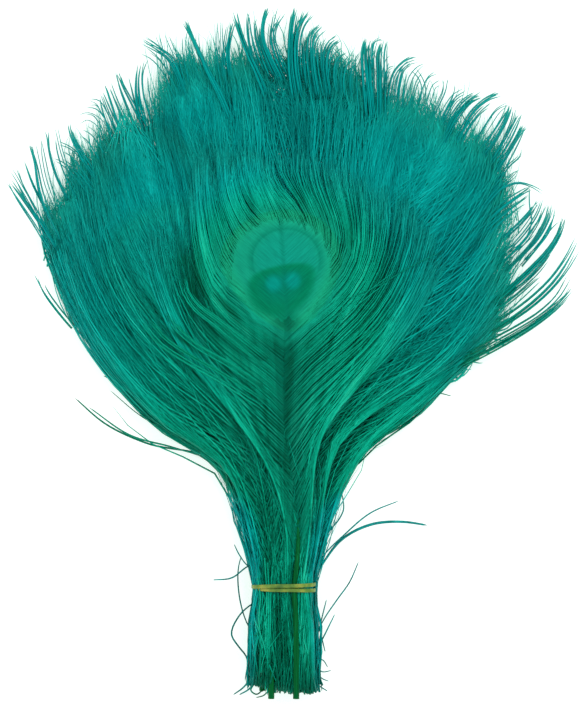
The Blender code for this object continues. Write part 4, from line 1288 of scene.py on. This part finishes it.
def make_sprays(name, sprays, root_z, top_z, drop, blue, tones, materials):
    """Barbs in sprays between two heights over the table. Each keeps its own place across its
    spray, and most stop a little short of the spray's tip. Their roots dip into the feathers."""
    rings = SPRAY_RINGS
    random = np.random.default_rng(21)
    t = np.linspace(0.0, 1.0, rings)
    paths, thick = [], []
    for count, thickness, at_tips, further_in, places in sprays:
        middle = smooth_curve(places[::-1], SPRAY_STEPS)
        way = np.gradient(middle, axis=0)
        across = np.stack([way[:, 1], -way[:, 0]], 1) / np.linalg.norm(way, axis=1)[:, None]
        whole = np.linspace(0.0, 1.0, SPRAY_STEPS)[:, None]
        for share in np.linspace(-1.0, 1.0, count):
            share = share + 0.5 * random.normal()
            curl = 0.8 * random.normal() * whole**6
            line = middle + across * (share * (further_in + (at_tips - further_in) * whole) + curl)
            end = 1.0 - 0.16 * random.uniform() ** 1.5 * abs(share)
            at = end * t
            flat = [np.interp(at, whole[:, 0], line[:, axis]) for axis in (0, 1)]
            z = root_z + (top_z - root_z) * np.sin(np.pi * t**0.7) - drop * t**3
            paths.append(np.stack([*flat, z + 0.6 * random.normal()], 1))
            thick.append(1.25 * thickness * random.uniform(0.75, 1.25))
    widths = np.array(thick)[:, None] * (0.7 + 0.5 * t - 0.9 * t**5)
    return loose_barbs(name, np.array(paths), widths, blue, tones, materials)


# ---------------------------------------------------------------- the scene

barbs = barb_material()
shaft = shaft_material()
pith = pith_material()
rubber = band_material()

for number in range(len(FEATHERS)):
    feather = Feather(number)
    strands = make_strands(feather, [barbs])
    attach(strands, "root")
    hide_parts(feather.node)
    quill = make_shaft(feather, [shaft, pith])
    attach(quill, "root")
    if feather.has_eye:
        eye = make_eye(feather, [barbs])
        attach(eye, "root")

strays = make_strays("stray_barbs", STRAYS, (0.0, 0.6), [barbs])
streaks = make_strays("stem_streaks", STREAKS, (0.8, 1.0), [barbs])
sprays = make_sprays("spray_barbs", SPRAYS, *SPRAY_HEIGHTS, 1.0, (0.2, 0.8), [barbs])
# The front locks' light tones are partly the barbs' own colour and partly painted highlight.
locks = make_sprays("front_locks", LOCKS, *LOCK_HEIGHTS, 0.4, (0.5, 1.0), [barbs])
for piece in (strays, streaks, sprays, locks):
    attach(piece, "root")

band_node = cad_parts["rubber_band"]
for slot in band_node.material_slots:
    slot.material = rubber

# Floor, light and camera.
FLOOR_SIZE, FLOOR_DROP = 3.0, 0.0002
CAMERA_LENS, CAMERA_SENSOR = 100.0, 24.0
# How much of the bunch's length the picture spans, at a height halfway up the fan, and where its
# middle is beside the band's axis and above the cut ends.
VIEW_SPAN, VIEW_LEVEL = 0.2915, 0.014
VIEW_MIDDLE = ((AXIS_X + 3.35) * MM, (CUT_ENDS + 144.9) * MM)

bpy.ops.mesh.primitive_plane_add(size=FLOOR_SIZE, location=(0, 0, -FLOOR_DROP))
floor = bpy.context.object
floor.name = "floor"
floor_material, _, floor_shader = new_material("white_paper")
floor_shader.inputs["Base Color"].default_value = linear("#c4c6c5")
floor_shader.inputs["Roughness"].default_value = 0.9
floor_shader.inputs["Emission Color"].default_value = linear("#f0fff8")
floor_shader.inputs["Emission Strength"].default_value = 0.68
floor.data.materials.append(floor_material)

world = bpy.data.worlds.new("studio")
bpy.context.scene.world = world
world.use_nodes = True
world.node_tree.nodes["Background"].inputs["Color"].default_value = linear("#ffffff")
world.node_tree.nodes["Background"].inputs["Strength"].default_value = 0.87


def soft_light(name, place, size, power):
    """A round lamp of a size in metres and a power in watts that faces the middle of the bunch."""
    data = bpy.data.lights.new(name, "AREA")
    data.shape = "DISK"
    data.size = size
    data.energy = power
    lamp = bpy.data.objects.new(name, data)
    lamp.location = place
    lamp.rotation_euler = (-Vector(place)).to_track_quat("-Z", "Y").to_euler()
    bpy.context.scene.collection.objects.link(lamp)


soft_light("key", (0.45, 0.55, 1.1), 0.7, 6.3)
soft_light("fill", (-0.6, 0.1, 1.1), 0.8, 2.0)

camera_data = bpy.data.cameras.new("camera")
camera_data.lens = CAMERA_LENS
camera_data.sensor_width = CAMERA_SENSOR
camera = bpy.data.objects.new("camera", camera_data)
camera.location = (*VIEW_MIDDLE, VIEW_SPAN * CAMERA_LENS / CAMERA_SENSOR + VIEW_LEVEL)
bpy.context.scene.collection.objects.link(camera)
bpy.context.scene.camera = camera
bpy.context.scene.view_settings.view_transform = "Standard"
